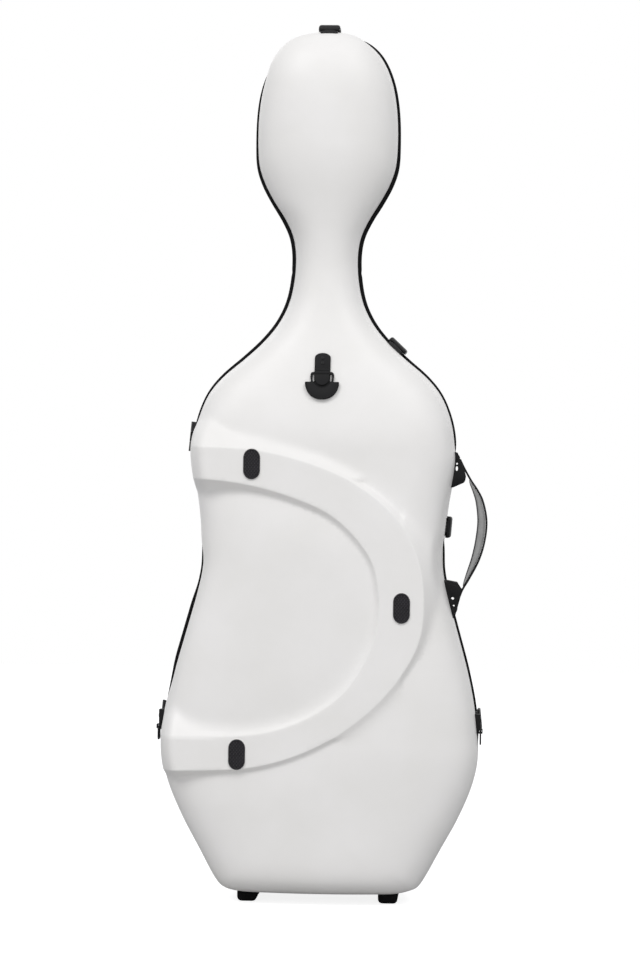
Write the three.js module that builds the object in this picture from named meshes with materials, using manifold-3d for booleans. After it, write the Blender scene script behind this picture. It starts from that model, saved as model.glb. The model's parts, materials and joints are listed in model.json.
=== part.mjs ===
// Hard case for a cello, standing on its feet. Millimetres, +Z up, the back shell faces -Y and the lid +Y.
// It is drawn with the seam between the shells in the plane y = 0 and the hinges on the -X side.
import * as THREE from 'three';
import { mergeVertices } from 'three/addons/utils/BufferGeometryUtils.js';
import Module from 'manifold-3d';

const wasm = await Module();
wasm.setup();

// Rim outline: widths at its named places and the lengths between them, from the floor end up
const endWidth = 317;
const lowerBoutWidth = 489;
const waistWidth = 376;
const upperBoutWidth = 409;
const neckWidth = 107;
const headWidth = 224;
const endRound = 20;
const endLength = 208;
const lowerLength = 295;
const upperLength = 162;
const shoulderLength = 287;
const throatLength = 185;
const crownLength = 173;
const footHeight = 8;

// Points between those places, each as a share of the length and of the change in half width
const endRoundShares = [[0.04, 0.5], [0.14, 0.78], [0.45, 0.92]];
const taperShares = [[0.25, 0.34], [0.5, 0.67], [0.75, 0.905]];
const lowerShares = [[0.2, 0.065], [0.4, 0.27], [0.6, 0.555], [0.8, 0.84], [0.92, 0.975]];
const upperShares = [[0.25, 0.05], [0.52, 0.34], [0.8, 0.84]];
const shoulderShares = [[0.15, 0.034], [0.3, 0.143], [0.4, 0.292], [0.5, 0.51], [0.6, 0.71], [0.7, 0.856],
  [0.82, 0.955]];
const throatShares = [[0.2, 0.06], [0.35, 0.265], [0.5, 0.555], [0.65, 0.81], [0.8, 0.965]];
const crownShares = [0.3, 0.55, 0.75, 0.88, 0.96];
const crownPower = 2.65;

// Depth of each shell at the same places, and how square its section is
const backBodyDepth = 124;
const backShoulderDepth = 118;
const backNeckDepth = 54;
const backHeadDepth = 76;
const lidBodyDepth = 156;
const lidShoulderDepth = 148;
const lidNeckDepth = 66;
const lidHeadDepth = 86;
const bodyPower = 4.4;
const neckPower = 2.4;
const spineEndShare = 0.34;
const spineCrownShare = 0.4;
const outerRingShares = [0.34, 0.6, 0.79, 0.9, 0.96, 0.99];
const innerRingShares = [0.45, 0.76, 0.94];

// Walls, rim and lining
const wall = 4.5;
const rimProud = 3;
const rimDepth = 4;
const rimRound = 1.1;
const seamGap = 0.2;
const lining = 9;
const fit = 0.3;
const overrun = 2;

// Raised band on the back shell: a flat C open to the hinge side
const bandDepth = 128;
const bandSlope = 24;
const bandAboveWaist = 162;
const bandBelowWaist = 326;
const bandMargin = 29;
const bandStartMargin = 6;
const bandTopArm = 47;
const bandSideArm = 67;
const bandBottomArm = 51;
const bandWallRise = 28;
const bandWallProud = 1.6;
const bandWallPower = 5.5;
const bandOuterShares = [[0.18, 1], [0.32, 0.972], [0.51, 0.9], [0.685, 0.792], [0.842, 0.629], [0.935, 0.45],
  [0.987, 0.25], [1, 0.04], [0.986, -0.16], [0.93, -0.34], [0.783, -0.594], [0.56, -0.824], [0.292, -0.965],
  [0.01, -1]];
const bandInnerShares = [[0.18, -0.994], [0.408, -0.952], [0.619, -0.84], [0.794, -0.666], [0.898, -0.469],
  [0.975, -0.223], [1, 0], [0.99, 0.18], [0.955, 0.37], [0.852, 0.576], [0.71, 0.744], [0.515, 0.863],
  [0.284, 0.952], [0.01, 1]];

// Long rounded rest pads on the band
const padWidth = 24.5;
const padLength = 45;
const padPower = 3;
const padProud = 3;
const padSeat = 1.2;
const padSides = 24;
const padRound = 1.1;
const padTopShare = 0.23;
const padBottomShare = 0.18;
const padSideShare = 0.512;

// Feet: rubber blocks with rounded lower edges
const footWidth = 30;
const footRound = 8;
const footLength = 38;
const footSpread = 216;
const footInset = 10;
const footReach = 34;

// Latches: base on the back shell, lever over the seam, keeper on the lid
const latchWidth = 33;
const latchShoulderShare = 0.557;
const latchWaistShare = 0.284;
const latchLowerShare = 0.152;
const pivotOut = 4.4;
const pivotBack = 15;
const pinRadius = 1.6;
const knuckleRadius = 3.6;
const knuckleWidth = 14;
const boreClear = 0.3;
const baseOut = 0.4;
const baseBack = 36;
const baseSink = 16;
const baseWidth = 27;
const leverOut = 12;
const leverDip = 9.4;
const leverFront = 19;
const leverPlate = 3;
const leverCheek = 3;
const leverRoof = 3.2;
const hookFront = 15.2;
const hookThick = 2.8;
const hookReach = 2.6;
const ridgeOut = 5.6;
const ridgeThick = 3.4;
const keeperFront = 27;
const keeperWidth = 26;
const leverCorner = 6;

// Hinges, on one line that clears both bouts
const hingeUpperShare = 0.066;
const hingeLowerShare = 0.149;
const hingeStandOff = 3.6;
const hingeLength = 46;
const hingeKnuckle = 2.9;
const hingePin = 1.3;
const hingeBore = 1.65;
const hingeMiddle = 15.6;
const hingeArmShare = 0.8;
const leafThick = 1.9;
const leafDepth = 23;
const leafSink = 14;
const hingeSides = 12;
const hingeLooks = 60;

// Side handle: two brackets, an arched strap and its padded grip
const handleWidth = 34;
const handleBack = 38;
const bracketUpperShares = [[0, 1], [0.5, 0.62], [1, 0.4], [1, 0.13], [0.85, 0.06], [0, 0]];
const bracketLowerShares = [[0, 0], [0.44, 0.3], [1, 0.78], [0.94, 0.9], [0.5, 1], [0, 1]];
const bracketUpperShare = 0.648;
const bracketUpperTall = 58;
const bracketUpperOut = 16;
const bracketLowerShare = 0.688;
const bracketLowerTall = 54;
const bracketLowerOut = 22;
const bracketSink = 14;
const bracketHole = 3.6;
const bracketHoleOut = 7;
const upperHoleShares = [[0.51, 1.9], [0.62, 1]];
const lowerHoleShares = [[0.64, 1], [0.46, 1]];
const handleRise = 34;
const strapThick = 3;
const gripThick = 10;
const strapSteps = 18;
const gripEndShare = 0.25;
const handleTopShare = 0.52;
const handleBottomShare = 0.75;
const gripShare = 0.84;

// Strap anchor high on the back shell
const anchorShare = 0.4;
const anchorWidth = 24;
const anchorTab = 33;
const anchorTongue = 20;
const anchorThick = 2.6;
const anchorBar = 1.7;
const anchorOut = 2.8;
const ringOuter = 36;
const ringArm = 3.4;
const ringDrop = 12;
const crescentWidth = 52;
const crescentDrop = 38.5;
const crescentThick = 3.4;
const ringBowShare = 0.6;
const screwRadius = 2.6;
const screwHead = 1.2;
const screwUpper = 24.5;
const screwLower = 16.5;

// Strap anchors low on both sides
const sideAnchorShare = 0.102;
const sideAnchorBack = 50;
const sideAnchorWidth = 16;
const sideAnchorTall = 26;
const sideAnchorOut = 2.4;
const sideAnchorWall = 1.2;
const sideRingWire = 1.2;
const sideRingWidth = 24;
const sideRingDrop = 22;
const sideRingOut = 5.4;

// Inside: foam supports in the back shell
const cradleDrop = 25;
const cradleLength = 46;
const cradleNotch = 17;
const cradleDepth = 18;
const supportOpen = 16;
const boutPadLength = 110;
const boutPadWidth = 26;
const boutPadLift = 10;
const endBlockHeight = 70;
const endBlockWidth = 250;
const endBore = 22;
const endBoreDepth = 34;

// Inside: bow holders in the lid
const bowSpread = 96;
const bowHold = 545;
const bowClipRadius = 9;
const bowClipRise = 15;
const bowTurnLength = 44;
const bowTurnWidth = 11;
const bowTurnThick = 4;
const bowRestShare = 0.59;
const bowRestWidth = 104;
const bowRestLength = 30;
const bowRestRise = 20;
const bowGroove = 14;
const bowGrooveSpread = 56;

// Colours and finishes
const shellPaint = { color: 0xf4f2ef, roughness: 0.32, metalness: 0 };
const blackRubber = { color: 0x16161a, roughness: 0.7, metalness: 0 };
const blackPlastic = { color: 0x1b1b1f, roughness: 0.5, metalness: 0 };
const blackMetal = { color: 0x202024, roughness: 0.4, metalness: 0.8 };
const steel = { color: 0x8d8f93, roughness: 0.35, metalness: 1 };
const greyPad = { color: 0x9a9a9c, roughness: 0.85, metalness: 0 };
const webbing = { color: 0x18181b, roughness: 0.8, metalness: 0 };
const plush = { color: 0x3b3c42, roughness: 0.95, metalness: 0 };
const foam = { color: 0x2c2d33, roughness: 0.95, metalness: 0 };

const half = 1 / 2;
const { lerp, smoothstep } = THREE.MathUtils;
const level = {};
level.floorEnd = footHeight;
level.end = level.floorEnd + endRound;
level.lowerBout = level.end + endLength;
level.waist = level.lowerBout + lowerLength;
level.upperBout = level.waist + upperLength;
level.neck = level.upperBout + shoulderLength;
level.head = level.neck + throatLength;
level.top = level.head + crownLength;
level.shoulderLatch = level.upperBout + shoulderLength * latchShoulderShare;
level.waistLatch = level.waist + upperLength * latchWaistShare;
level.lowerLatch = level.lowerBout + lowerLength * latchLowerShare;
level.upperHinge = level.upperBout + shoulderLength * hingeUpperShare;
level.lowerHinge = level.lowerBout + lowerLength * hingeLowerShare;
level.upperBracket = level.waist + upperLength * bracketUpperShare;
level.lowerBracket = level.lowerBout + lowerLength * bracketLowerShare;
level.anchor = level.upperBout + shoulderLength * anchorShare;
level.sideAnchor = level.lowerBout + lowerLength * sideAnchorShare;
level.cradle = level.neck - cradleDrop;
level.bowRest = level.upperBout + shoulderLength * bowRestShare;
level.bowClip = level.bowRest - bowHold;
const weldReach = 1e-4;

const band = {
  top: level.waist + bandAboveWaist,
  bottom: level.waist - bandBelowWaist,
  left: -waistWidth * half + bandStartMargin,
  right: waistWidth * half - bandMargin,
};
band.innerTop = band.top - bandTopArm;
band.innerBottom = band.bottom + bandBottomArm;
band.innerRight = band.right - bandSideArm;
band.runOut = -lowerBoutWidth;
const padPlaces = {
  top: [lerp(band.left, band.right, padTopShare), (band.top + band.innerTop) * half],
  side: [(band.right + band.innerRight) * half, lerp(band.bottom, band.top, padSideShare)],
  bottom: [lerp(band.left, band.right, padBottomShare), (band.bottom + band.innerBottom) * half],
};

// Solids and meshes
function solidOf(geometry) {
  const bare = geometry.clone();
  bare.deleteAttribute('normal');
  bare.deleteAttribute('uv');
  const merged = mergeVertices(bare, weldReach);
  const mesh = new wasm.Mesh({
    numProp: 3,
    vertProperties: new Float32Array(merged.attributes.position.array),
    triVerts: new Uint32Array(merged.index.array),
  });
  return new wasm.Manifold(mesh);
}

function geometryOf(solid) {
  const mesh = solid.getMesh();
  const geometry = new THREE.BufferGeometry();
  geometry.setAttribute('position', new THREE.BufferAttribute(new Float32Array(mesh.vertProperties), 3));
  geometry.setIndex(new THREE.BufferAttribute(new Uint32Array(mesh.triVerts), 1));
  geometry.computeVertexNormals();
  return geometry;
}

function joined(...geometries) {
  return geometryOf(geometries.map(solidOf).reduce((sum, next) => sum.add(next)));
}

function cut(geometry, ...cutters) {
  return geometryOf(cutters.map(solidOf).reduce((rest, next) => rest.subtract(next), solidOf(geometry)));
}

function shared(a, b) {
  return geometryOf(solidOf(a).intersect(solidOf(b)));
}

const caseGroup = new THREE.Group();

function addMesh(name, geometry, finish, parent = caseGroup) {
  const mesh = new THREE.Mesh(geometry, new THREE.MeshStandardMaterial(finish));
  mesh.name = name;
  parent.add(mesh);
  return mesh;
}

// A geometry in a placed group, cut by another one that is given in the case's frame
function cutInPlace(geometry, place, cutter) {
  place.updateWorldMatrix(true, false);
  const local = cutter.clone().applyMatrix4(place.matrixWorld.clone().invert());
  return cut(geometry, local);
}

function polygon(points) {
  return new THREE.Shape(points.map(([x, y]) => new THREE.Vector2(x, y)));
}

function circleHole(shape, x, y, radius) {
  const hole = new THREE.Path();
  hole.absarc(x, y, radius, 0, Math.PI * 2, true);
  shape.holes.push(hole);
}

// A profile drawn in X and Y, centred along Z
function slab(shape, width, curveSegments = 6) {
  const geometry = new THREE.ExtrudeGeometry(shape, { depth: width, bevelEnabled: false, curveSegments });
  return geometry.translate(0, 0, -width * half);
}

// A profile drawn in X and Z, from y = near to y = far
function slabAlongY(shape, near, far, curveSegments = 6) {
  const options = { depth: far - near, bevelEnabled: false, curveSegments };
  const geometry = new THREE.ExtrudeGeometry(shape, options);
  return geometry.rotateX(Math.PI * half).translate(0, far, 0);
}

function block(x0, x1, y0, y1, z0, z1) {
  const box = new THREE.BoxGeometry(x1 - x0, y1 - y0, z1 - z0);
  return box.translate((x0 + x1) * half, (y0 + y1) * half, (z0 + z1) * half);
}

function rod(radius, length, sides) {
  return new THREE.CylinderGeometry(radius, radius, length, sides).rotateX(Math.PI * half);
}

// Rim outline
function spanPoints(from, to, shares) {
  return shares.map(([along, across]) => [
    lerp(from[0], to[0], across),
    lerp(from[1], to[1], along),
  ]);
}

function rightOutline() {
  const places = {
    bottom: [0, level.floorEnd],
    end: [endWidth * half, level.end],
    lowerBout: [lowerBoutWidth * half, level.lowerBout],
    waist: [waistWidth * half, level.waist],
    upperBout: [upperBoutWidth * half, level.upperBout],
    neck: [neckWidth * half, level.neck],
    head: [headWidth * half, level.head],
  };
  const crown = crownShares.map((along) => [
    headWidth * half * (1 - along ** crownPower) ** (1 / crownPower),
    level.head + crownLength * along,
  ]);
  return [
    ...spanPoints(places.bottom, places.end, endRoundShares),
    places.end,
    ...spanPoints(places.end, places.lowerBout, taperShares),
    places.lowerBout,
    ...spanPoints(places.lowerBout, places.waist, lowerShares),
    places.waist,
    ...spanPoints(places.waist, places.upperBout, upperShares),
    places.upperBout,
    ...spanPoints(places.upperBout, places.neck, shoulderShares),
    places.neck,
    ...spanPoints(places.neck, places.head, throatShares),
    places.head,
    ...crown,
  ];
}

const rightPoints = rightOutline();
const closedPoints = [
  [0, level.floorEnd],
  ...rightPoints,
  [0, level.top],
  ...rightPoints.map(([x, z]) => [-x, z]).reverse(),
];
const outlineCurve = new THREE.CatmullRomCurve3(
  closedPoints.map(([x, z]) => new THREE.Vector3(x, 0, z)), true, 'centripetal');
const outlineCount = closedPoints.length;

// Each station holds a rim point, its outward normal and the point of the spine that it looks to
function spineHeight(index) {
  const z = outlineCurve.getPoint(index / outlineCount).z;
  if (z > level.head) return level.head + (z - level.head) * spineCrownShare;
  if (z >= level.lowerBout) return z;
  const reach = level.lowerBout - level.floorEnd;
  const alongEnd = Math.min(index, outlineCount - index) / lowerBoutIndex;
  return level.lowerBout - reach * spineEndShare * (1 - alongEnd);
}

const lowerBoutIndex = closedPoints.findIndex(([, z]) => z === level.lowerBout);
const stations = closedPoints.map((point, index) => {
  const at = outlineCurve.getPoint(index / outlineCount);
  const tangent = outlineCurve.getTangent(index / outlineCount);
  return { x: at.x, z: at.z, nx: tangent.z, nz: -tangent.x, spine: spineHeight(index) };
});

function rimFrameAt(z, side) {
  let low = 0;
  let high = half;
  for (let step = 0; step < 40; step += 1) {
    const middle = (low + high) * half;
    if (outlineCurve.getPoint(middle).z < z) low = middle;
    else high = middle;
  }
  const at = outlineCurve.getPoint(low);
  const tangent = outlineCurve.getTangent(low);
  return { x: side * at.x, z: at.z, nx: side * tangent.z, nz: -tangent.x };
}

// Depth and section of a shell at a height
function blend(z, table) {
  for (let index = 1; index < table.length; index += 1) {
    const [z0, value0] = table[index - 1];
    const [z1, value1] = table[index];
    if (z <= z1) return lerp(value0, value1, smoothstep(z, z0, z1));
  }
  return table[table.length - 1][1];
}

function depthTable(body, shoulder, neck, head) {
  return [[level.waist, body], [level.upperBout, shoulder], [level.neck, neck], [level.head, head]];
}

const backDepths = depthTable(backBodyDepth, backShoulderDepth, backNeckDepth, backHeadDepth);
const lidDepths = depthTable(lidBodyDepth, lidShoulderDepth, lidNeckDepth, lidHeadDepth);
const sectionPowers = [[level.upperBout, bodyPower], [level.neck, neckPower]];

// A domed solid on the rim outline: inset from the rim, less deep by a wall, closed by a flat face at lip
function dome({ side, depths, inset, less, lip, ringShares, powers = sectionPowers, deeper = 0 }) {
  const shares = [0, ...ringShares, 1];
  const positions = [];
  const grid = shares.map((share) => stations.map((station) => {
    const power = blend(station.spine, powers);
    const inward = 1 - (1 - share ** power) ** (1 / power);
    const z = lerp(station.z - station.nz * inset, station.spine, inward);
    const x = (station.x - station.nx * inset) * (1 - inward);
    const base = rimDepth + seamGap;
    const full = blend(z, depths) + deeper - less;
    positions.push(x, side * (base + (full - base) * share), z);
    return positions.length / 3 - 1;
  }));
  const lipRing = stations.map((station) => {
    positions.push(station.x - station.nx * inset, side * lip, station.z - station.nz * inset);
    return positions.length / 3 - 1;
  });
  const lipSpine = stations.map((station) => {
    positions.push(0, side * lip, station.spine);
    return positions.length / 3 - 1;
  });
  const needsLip = Math.abs(lip - rimDepth - seamGap) > weldReach;
  const rows = needsLip ? [lipSpine, lipRing, ...grid] : [lipSpine, ...grid];
  return gridGeometry(positions, rows, side < 0);
}

function gridGeometry(positions, rows, flip) {
  const index = [];
  const count = rows[0].length;
  for (let row = 1; row < rows.length; row += 1) {
    for (let column = 0; column < count; column += 1) {
      const next = (column + 1) % count;
      const a = rows[row - 1][column];
      const b = rows[row - 1][next];
      const c = rows[row][next];
      const d = rows[row][column];
      if (flip) index.push(a, b, c, a, c, d);
      else index.push(a, c, b, a, d, c);
    }
  }
  const geometry = new THREE.BufferGeometry();
  geometry.setAttribute('position', new THREE.Float32BufferAttribute(positions, 3));
  geometry.setIndex(index);
  return dropFlat(mergeVertices(geometry, weldReach));
}

// Leaves out the triangles that lost their area where a ring closes on the spine
function dropFlat(geometry) {
  const source = geometry.index.array;
  const kept = [];
  for (let start = 0; start < source.length; start += 3) {
    const [a, b, c] = [source[start], source[start + 1], source[start + 2]];
    if (a !== b && b !== c && a !== c) kept.push(a, b, c);
  }
  geometry.setIndex(kept);
  return geometry;
}

const backSide = { side: -1, depths: backDepths };
const lidSide = { side: 1, depths: lidDepths };
const rimLip = rimDepth + seamGap;

function outerDome(shell, gap = 0) {
  const ringShares = outerRingShares;
  return dome({ ...shell, inset: rimProud - gap, less: -gap, lip: rimLip - gap, ringShares });
}

function innerDome(shell, depthIn, lip = -overrun) {
  return dome({ ...shell, inset: rimProud + depthIn, less: depthIn, lip, ringShares: innerRingShares });
}

// Raised band: a C with sloping sides that ends in the shell's own side wall
function bandShape() {
  const place = (shares, right, bottom, top) => shares.map(([across, up]) => [
    lerp(band.left, right, across), lerp(bottom, top, (up + 1) * half)]);
  const outer = place(bandOuterShares, band.right, band.bottom, band.top);
  const inner = place(bandInnerShares, band.innerRight, band.innerBottom, band.innerTop);
  return polygon([
    [band.runOut, band.top], ...outer, [band.runOut, band.bottom],
    [band.runOut, band.innerBottom], ...inner, [band.runOut, band.innerTop],
  ]);
}

function bandSolid(gap = 0) {
  const prism = new THREE.ExtrudeGeometry(bandShape(), {
    depth: bandDepth, bevelEnabled: true, bevelThickness: bandSlope, bevelSize: bandSlope, bevelOffset: gap,
    bevelSegments: 1, curveSegments: 1,
  });
  prism.rotateX(Math.PI * half).translate(0, bandSlope - gap, 0);
  const reach = dome({
    ...backSide, inset: rimProud - bandWallProud - gap, less: 0, lip: rimLip, ringShares: outerRingShares,
    powers: [[level.upperBout, bandWallPower]], deeper: bandWallRise,
  });
  return shared(prism, reach);
}

const backOuterGap = joined(outerDome(backSide, fit), bandSolid(fit));
const lidOuterGap = outerDome(lidSide, fit);

// An oval, squarer the higher its power
function ovalShape(width, length, sides, power = 2) {
  const points = [];
  const bend = (value) => Math.sign(value) * Math.abs(value) ** (2 / power);
  for (let index = 0; index < sides; index += 1) {
    const angle = (index / sides) * Math.PI * 2;
    points.push([bend(Math.cos(angle)) * width * half, bend(Math.sin(angle)) * length * half]);
  }
  return polygon(points);
}

function addBackShell() {
  let shell = joined(outerDome(backSide), bandSolid());
  const seats = Object.values(padPlaces).map(([x, z]) => slabAlongY(
    ovalShape(padWidth + fit * 2, padLength + fit * 2, padSides, padPower),
    -bandDepth - overrun, -bandDepth + padSeat).translate(x, 0, z));
  shell = cut(shell, innerDome(backSide, wall), ...seats);
  addMesh('back_shell', shell, shellPaint);
}

function addLidShell() {
  addMesh('front_shell', cut(outerDome(lidSide), innerDome(lidSide, wall)), shellPaint);
}

function addLiner(name, shell) {
  const outside = dome({
    ...shell, inset: rimProud + wall + fit, less: wall + fit, lip: rimLip, ringShares: innerRingShares });
  addMesh(name, cut(outside, innerDome(shell, wall + fit + lining)), plush);
}

// Rim seal: a band round the whole outline, rounded where it shows
function addRim(name, side) {
  const inner = rimProud + wall;
  const profile = [
    [inner, seamGap], [rimRound, seamGap], [0, seamGap + rimRound], [0, rimDepth - rimRound],
    [rimRound, rimDepth], [inner, rimDepth],
  ];
  const positions = [];
  const rows = [...profile, profile[0]].map(([inset, y]) => stations.map((station) => {
    positions.push(station.x - station.nx * inset, side * y, station.z - station.nz * inset);
    return positions.length / 3 - 1;
  }));
  addMesh(name, gridGeometry(positions, rows, side < 0), blackRubber);
}

function addPads() {
  for (const [name, [x, z]] of Object.entries(padPlaces)) {
    const seat = -bandDepth + padSeat - fit;
    const face = -bandDepth - padProud;
    const foot = slabAlongY(ovalShape(padWidth, padLength, padSides, padPower), face + padRound, seat);
    const crown = new THREE.ExtrudeGeometry(
      ovalShape(padWidth - padRound * 2, padLength - padRound * 2, padSides, padPower), {
        depth: padRound, bevelEnabled: true, bevelThickness: padRound, bevelSize: padRound, bevelSegments: 1,
      });
    crown.rotateX(Math.PI * half).translate(0, face + padRound * 2, 0);
    const pad = addMesh(`rest_pad_${name}`, joined(foot, crown), blackRubber);
    pad.position.set(x, 0, z);
  }
}

function addFeet() {
  const side = footWidth * half;
  const profile = new THREE.Shape();
  profile.moveTo(-side, footReach);
  profile.lineTo(-side, footRound);
  profile.quadraticCurveTo(-side, 0, -side + footRound, 0);
  profile.lineTo(side - footRound, 0);
  profile.quadraticCurveTo(side, 0, side, footRound);
  profile.lineTo(side, footReach);
  const near = rimLip + footInset;
  for (const [shellName, facing, cutter] of [['back', -1, backOuterGap], ['front', 1, lidOuterGap]]) {
    for (const [sideName, across] of [['left', -1], ['right', 1]]) {
      const place = new THREE.Group();
      place.position.set(across * footSpread * half, 0, 0);
      caseGroup.add(place);
      const ends = facing < 0 ? [-near - footLength, -near] : [near, near + footLength];
      const bar = slabAlongY(profile, ...ends, 4);
      addMesh(`foot_${shellName}_${sideName}`, cutInPlace(bar, place, cutter), blackRubber, place);
    }
  }
}

// A group on the rim: local X points out of the case, local Z runs along the rim
function rimPlace(z, side = 1) {
  const frame = z === level.top ? { x: 0, z, nx: 0, nz: 1 } : rimFrameAt(z, side);
  const place = new THREE.Group();
  place.position.set(frame.x, 0, frame.z);
  place.rotation.y = Math.atan2(-frame.nz, frame.nx);
  caseGroup.add(place);
  return place;
}

function latchBase(place) {
  const plate = block(-baseSink, baseOut, -baseBack, -rimLip - fit, -baseWidth * half, baseWidth * half);
  const knuckle = new THREE.Shape();
  knuckle.absarc(pivotOut, -pivotBack, knuckleRadius, -Math.PI * half, Math.PI * half, false);
  knuckle.lineTo(-fit, -pivotBack + knuckleRadius);
  knuckle.lineTo(-fit, -pivotBack - pinRadius);
  circleHole(knuckle, pivotOut, -pivotBack, pinRadius + boreClear);
  const whole = joined(plate, slab(knuckle, knuckleWidth));
  return cutInPlace(whole, place, backOuterGap);
}

function leverShape() {
  const shape = new THREE.Shape();
  shape.moveTo(pivotOut, -pivotBack - knuckleRadius);
  shape.absarc(pivotOut, -pivotBack, knuckleRadius, -Math.PI * half, -Math.PI * 3 / 4, true);
  shape.absarc(pivotOut, -pivotBack, knuckleRadius, -Math.PI * 3 / 4, -Math.PI * 5 / 4, true);
  shape.lineTo(pivotOut, -pivotBack + knuckleRadius);
  shape.lineTo(leverDip - leverPlate, -rimLip);
  shape.lineTo(leverDip - leverPlate, hookFront - hookThick);
  shape.lineTo(hookReach, hookFront - hookThick);
  shape.lineTo(hookReach, hookFront);
  shape.lineTo(leverDip - leverPlate * half, hookFront);
  shape.lineTo(leverOut - leverPlate * half, leverFront);
  shape.lineTo(leverOut, leverFront);
  shape.quadraticCurveTo(leverDip, hookFront - hookThick, leverDip, 0);
  shape.quadraticCurveTo(leverDip, -pivotBack * half, leverOut - leverPlate * half, -pivotBack - fit);
  shape.lineTo(leverOut - leverPlate, -pivotBack - knuckleRadius);
  return shape;
}

function roundedRectangle(x0, x1, y0, y1, radius) {
  const shape = new THREE.Shape();
  shape.moveTo(x0 + radius, y0);
  shape.lineTo(x1 - radius, y0);
  shape.absarc(x1 - radius, y0 + radius, radius, -Math.PI * half, 0, false);
  shape.lineTo(x1, y1 - radius);
  shape.absarc(x1 - radius, y1 - radius, radius, 0, Math.PI * half, false);
  shape.lineTo(x0 + radius, y1);
  shape.absarc(x0 + radius, y1 - radius, radius, Math.PI * half, Math.PI, false);
  shape.lineTo(x0, y0 + radius);
  shape.absarc(x0 + radius, y0 + radius, radius, Math.PI, Math.PI * 3 * half, false);
  return shape;
}

function latchLever() {
  const arm = slab(leverShape(), latchWidth, 3);
  const clearance = rod(knuckleRadius + boreClear, knuckleWidth + boreClear * 2, 12)
    .translate(pivotOut, -pivotBack, 0);
  const inside = latchWidth * half - leverCheek;
  const channel = block(-leverPlate, leverOut - leverPlate * half - leverRoof, -pivotBack - knuckleRadius * 2,
    -pivotBack + knuckleRadius, -inside, inside);
  const plan = roundedRectangle(-latchWidth * half, latchWidth * half,
    -pivotBack - knuckleRadius - fit, leverFront + fit, leverCorner);
  const planSolid = slab(plan, leverOut * 4, 2).rotateY(Math.PI * half);
  const body = shared(cut(arm, clearance, channel), planSolid);
  const pin = rod(pinRadius, latchWidth - leverCheek, 8).translate(pivotOut, -pivotBack, 0);
  return joined(body, pin);
}

function latchKeeper(place) {
  const ridgeFront = hookFront - hookThick - fit;
  const profile = polygon([
    [-baseSink, rimLip + fit], [baseOut, rimLip + fit], [ridgeOut, ridgeFront - ridgeThick],
    [ridgeOut, ridgeFront], [baseOut, ridgeFront], [baseOut, keeperFront], [-baseSink, keeperFront],
  ]);
  return cutInPlace(slab(profile, keeperWidth), place, lidOuterGap);
}

function addLatches() {
  const places = {
    top: level.top, shoulder: level.shoulderLatch, waist: level.waistLatch, lower: level.lowerLatch };
  for (const [name, height] of Object.entries(places)) {
    const place = rimPlace(height);
    addMesh(`latch_base_${name}`, latchBase(place), blackMetal, place);
    addMesh(`latch_lever_${name}`, latchLever(), blackMetal, place);
    addMesh(`latch_keeper_${name}`, latchKeeper(place), blackMetal, place);
  }
}

// Hinges, on the line that touches both bouts on the left
function farthest(low, high, outward) {
  let found = null;
  for (let look = 0; look <= hingeLooks; look += 1) {
    const frame = rimFrameAt(lerp(low, high, look / hingeLooks), -1);
    const point = new THREE.Vector3(frame.x, 0, frame.z);
    if (!found || point.dot(outward) > found.dot(outward)) found = point;
  }
  return found;
}

function hingeLine() {
  const outward = new THREE.Vector3(-1, 0, 0);
  const along = new THREE.Vector3(0, 0, 1);
  let touch = null;
  for (let round = 0; round < 4; round += 1) {
    touch = farthest(level.waist, level.neck, outward);
    along.copy(touch).sub(farthest(level.end, level.waist, outward)).normalize();
    outward.set(-along.z, 0, along.x);
  }
  return { start: touch.addScaledVector(outward, hingeStandOff), along };
}

function hingePoint({ start, along }, height) {
  return start.clone().addScaledVector(along, (height - start.z) / along.z);
}

function hingeLeaf(side, spans) {
  const plateIn = -hingeStandOff - rimProud - leafSink;
  const plateOut = -hingeStandOff - rimProud - fit + leafThick;
  const near = rimLip + fit;
  const flip = side < 0 ? (points) => points.map(([x, y]) => [x, -y]).reverse() : (points) => points;
  const plate = slab(polygon(flip([
    [plateIn, near], [plateOut, near], [plateOut, leafDepth], [plateIn, leafDepth]])), hingeLength);
  const arm = polygon(flip([
    [hingeKnuckle, 0], [hingeKnuckle * hingeArmShare, near], [plateOut, near * 2],
    [plateOut - leafThick, near * 2], [plateOut - leafThick, near], [-hingeKnuckle, near], [-hingeKnuckle, 0],
  ]));
  const pieces = [plate];
  for (const [from, to] of spans) {
    const centre = (from + to) * half;
    pieces.push(rod(hingeKnuckle, to - from, hingeSides).translate(0, 0, centre));
    pieces.push(slab(arm, to - from).translate(0, 0, centre));
  }
  return cut(joined(...pieces), rod(hingeBore, hingeLength + overrun, hingeSides));
}

function addHinges() {
  const line = hingeLine();
  const upper = hingePoint(line, level.upperHinge);
  const lower = hingePoint(line, level.lowerHinge);
  const { along } = line;
  const inner = hingeMiddle * half;
  const outer = hingeLength * half;
  for (const [name, point] of [['upper', upper], ['lower', lower]]) {
    const place = new THREE.Group();
    place.position.copy(point);
    place.rotation.y = Math.atan2(-along.x, -along.z);
    caseGroup.add(place);
    const backSpans = [[-outer, -inner - fit], [inner + fit, outer]];
    const back = cutInPlace(hingeLeaf(-1, backSpans), place, backOuterGap);
    const lid = cutInPlace(hingeLeaf(1, [[-inner, inner]]), place, lidOuterGap);
    addMesh(`hinge_leaf_back_${name}`, back, blackMetal, place);
    addMesh(`hinge_leaf_lid_${name}`, lid, blackMetal, place);
    addMesh(`hinge_pin_${name}`, rod(hingePin, hingeLength, hingeSides), steel, place);
  }
}

// Side handle
function bracketShape(bottom, top, out, shares) {
  const tall = top - bottom;
  const outline = shares.map(([across, up]) => {
    const z = bottom + tall * up;
    return [rimFrameAt(z, 1).x - rimProud + (out + rimProud) * across, z];
  });
  const first = outline[0];
  const last = outline[outline.length - 1];
  const inner = [[last[0] - bracketSink, last[1]], [first[0] - bracketSink, first[1]]];
  return polygon([...inner, ...outline].reverse());
}

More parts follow.
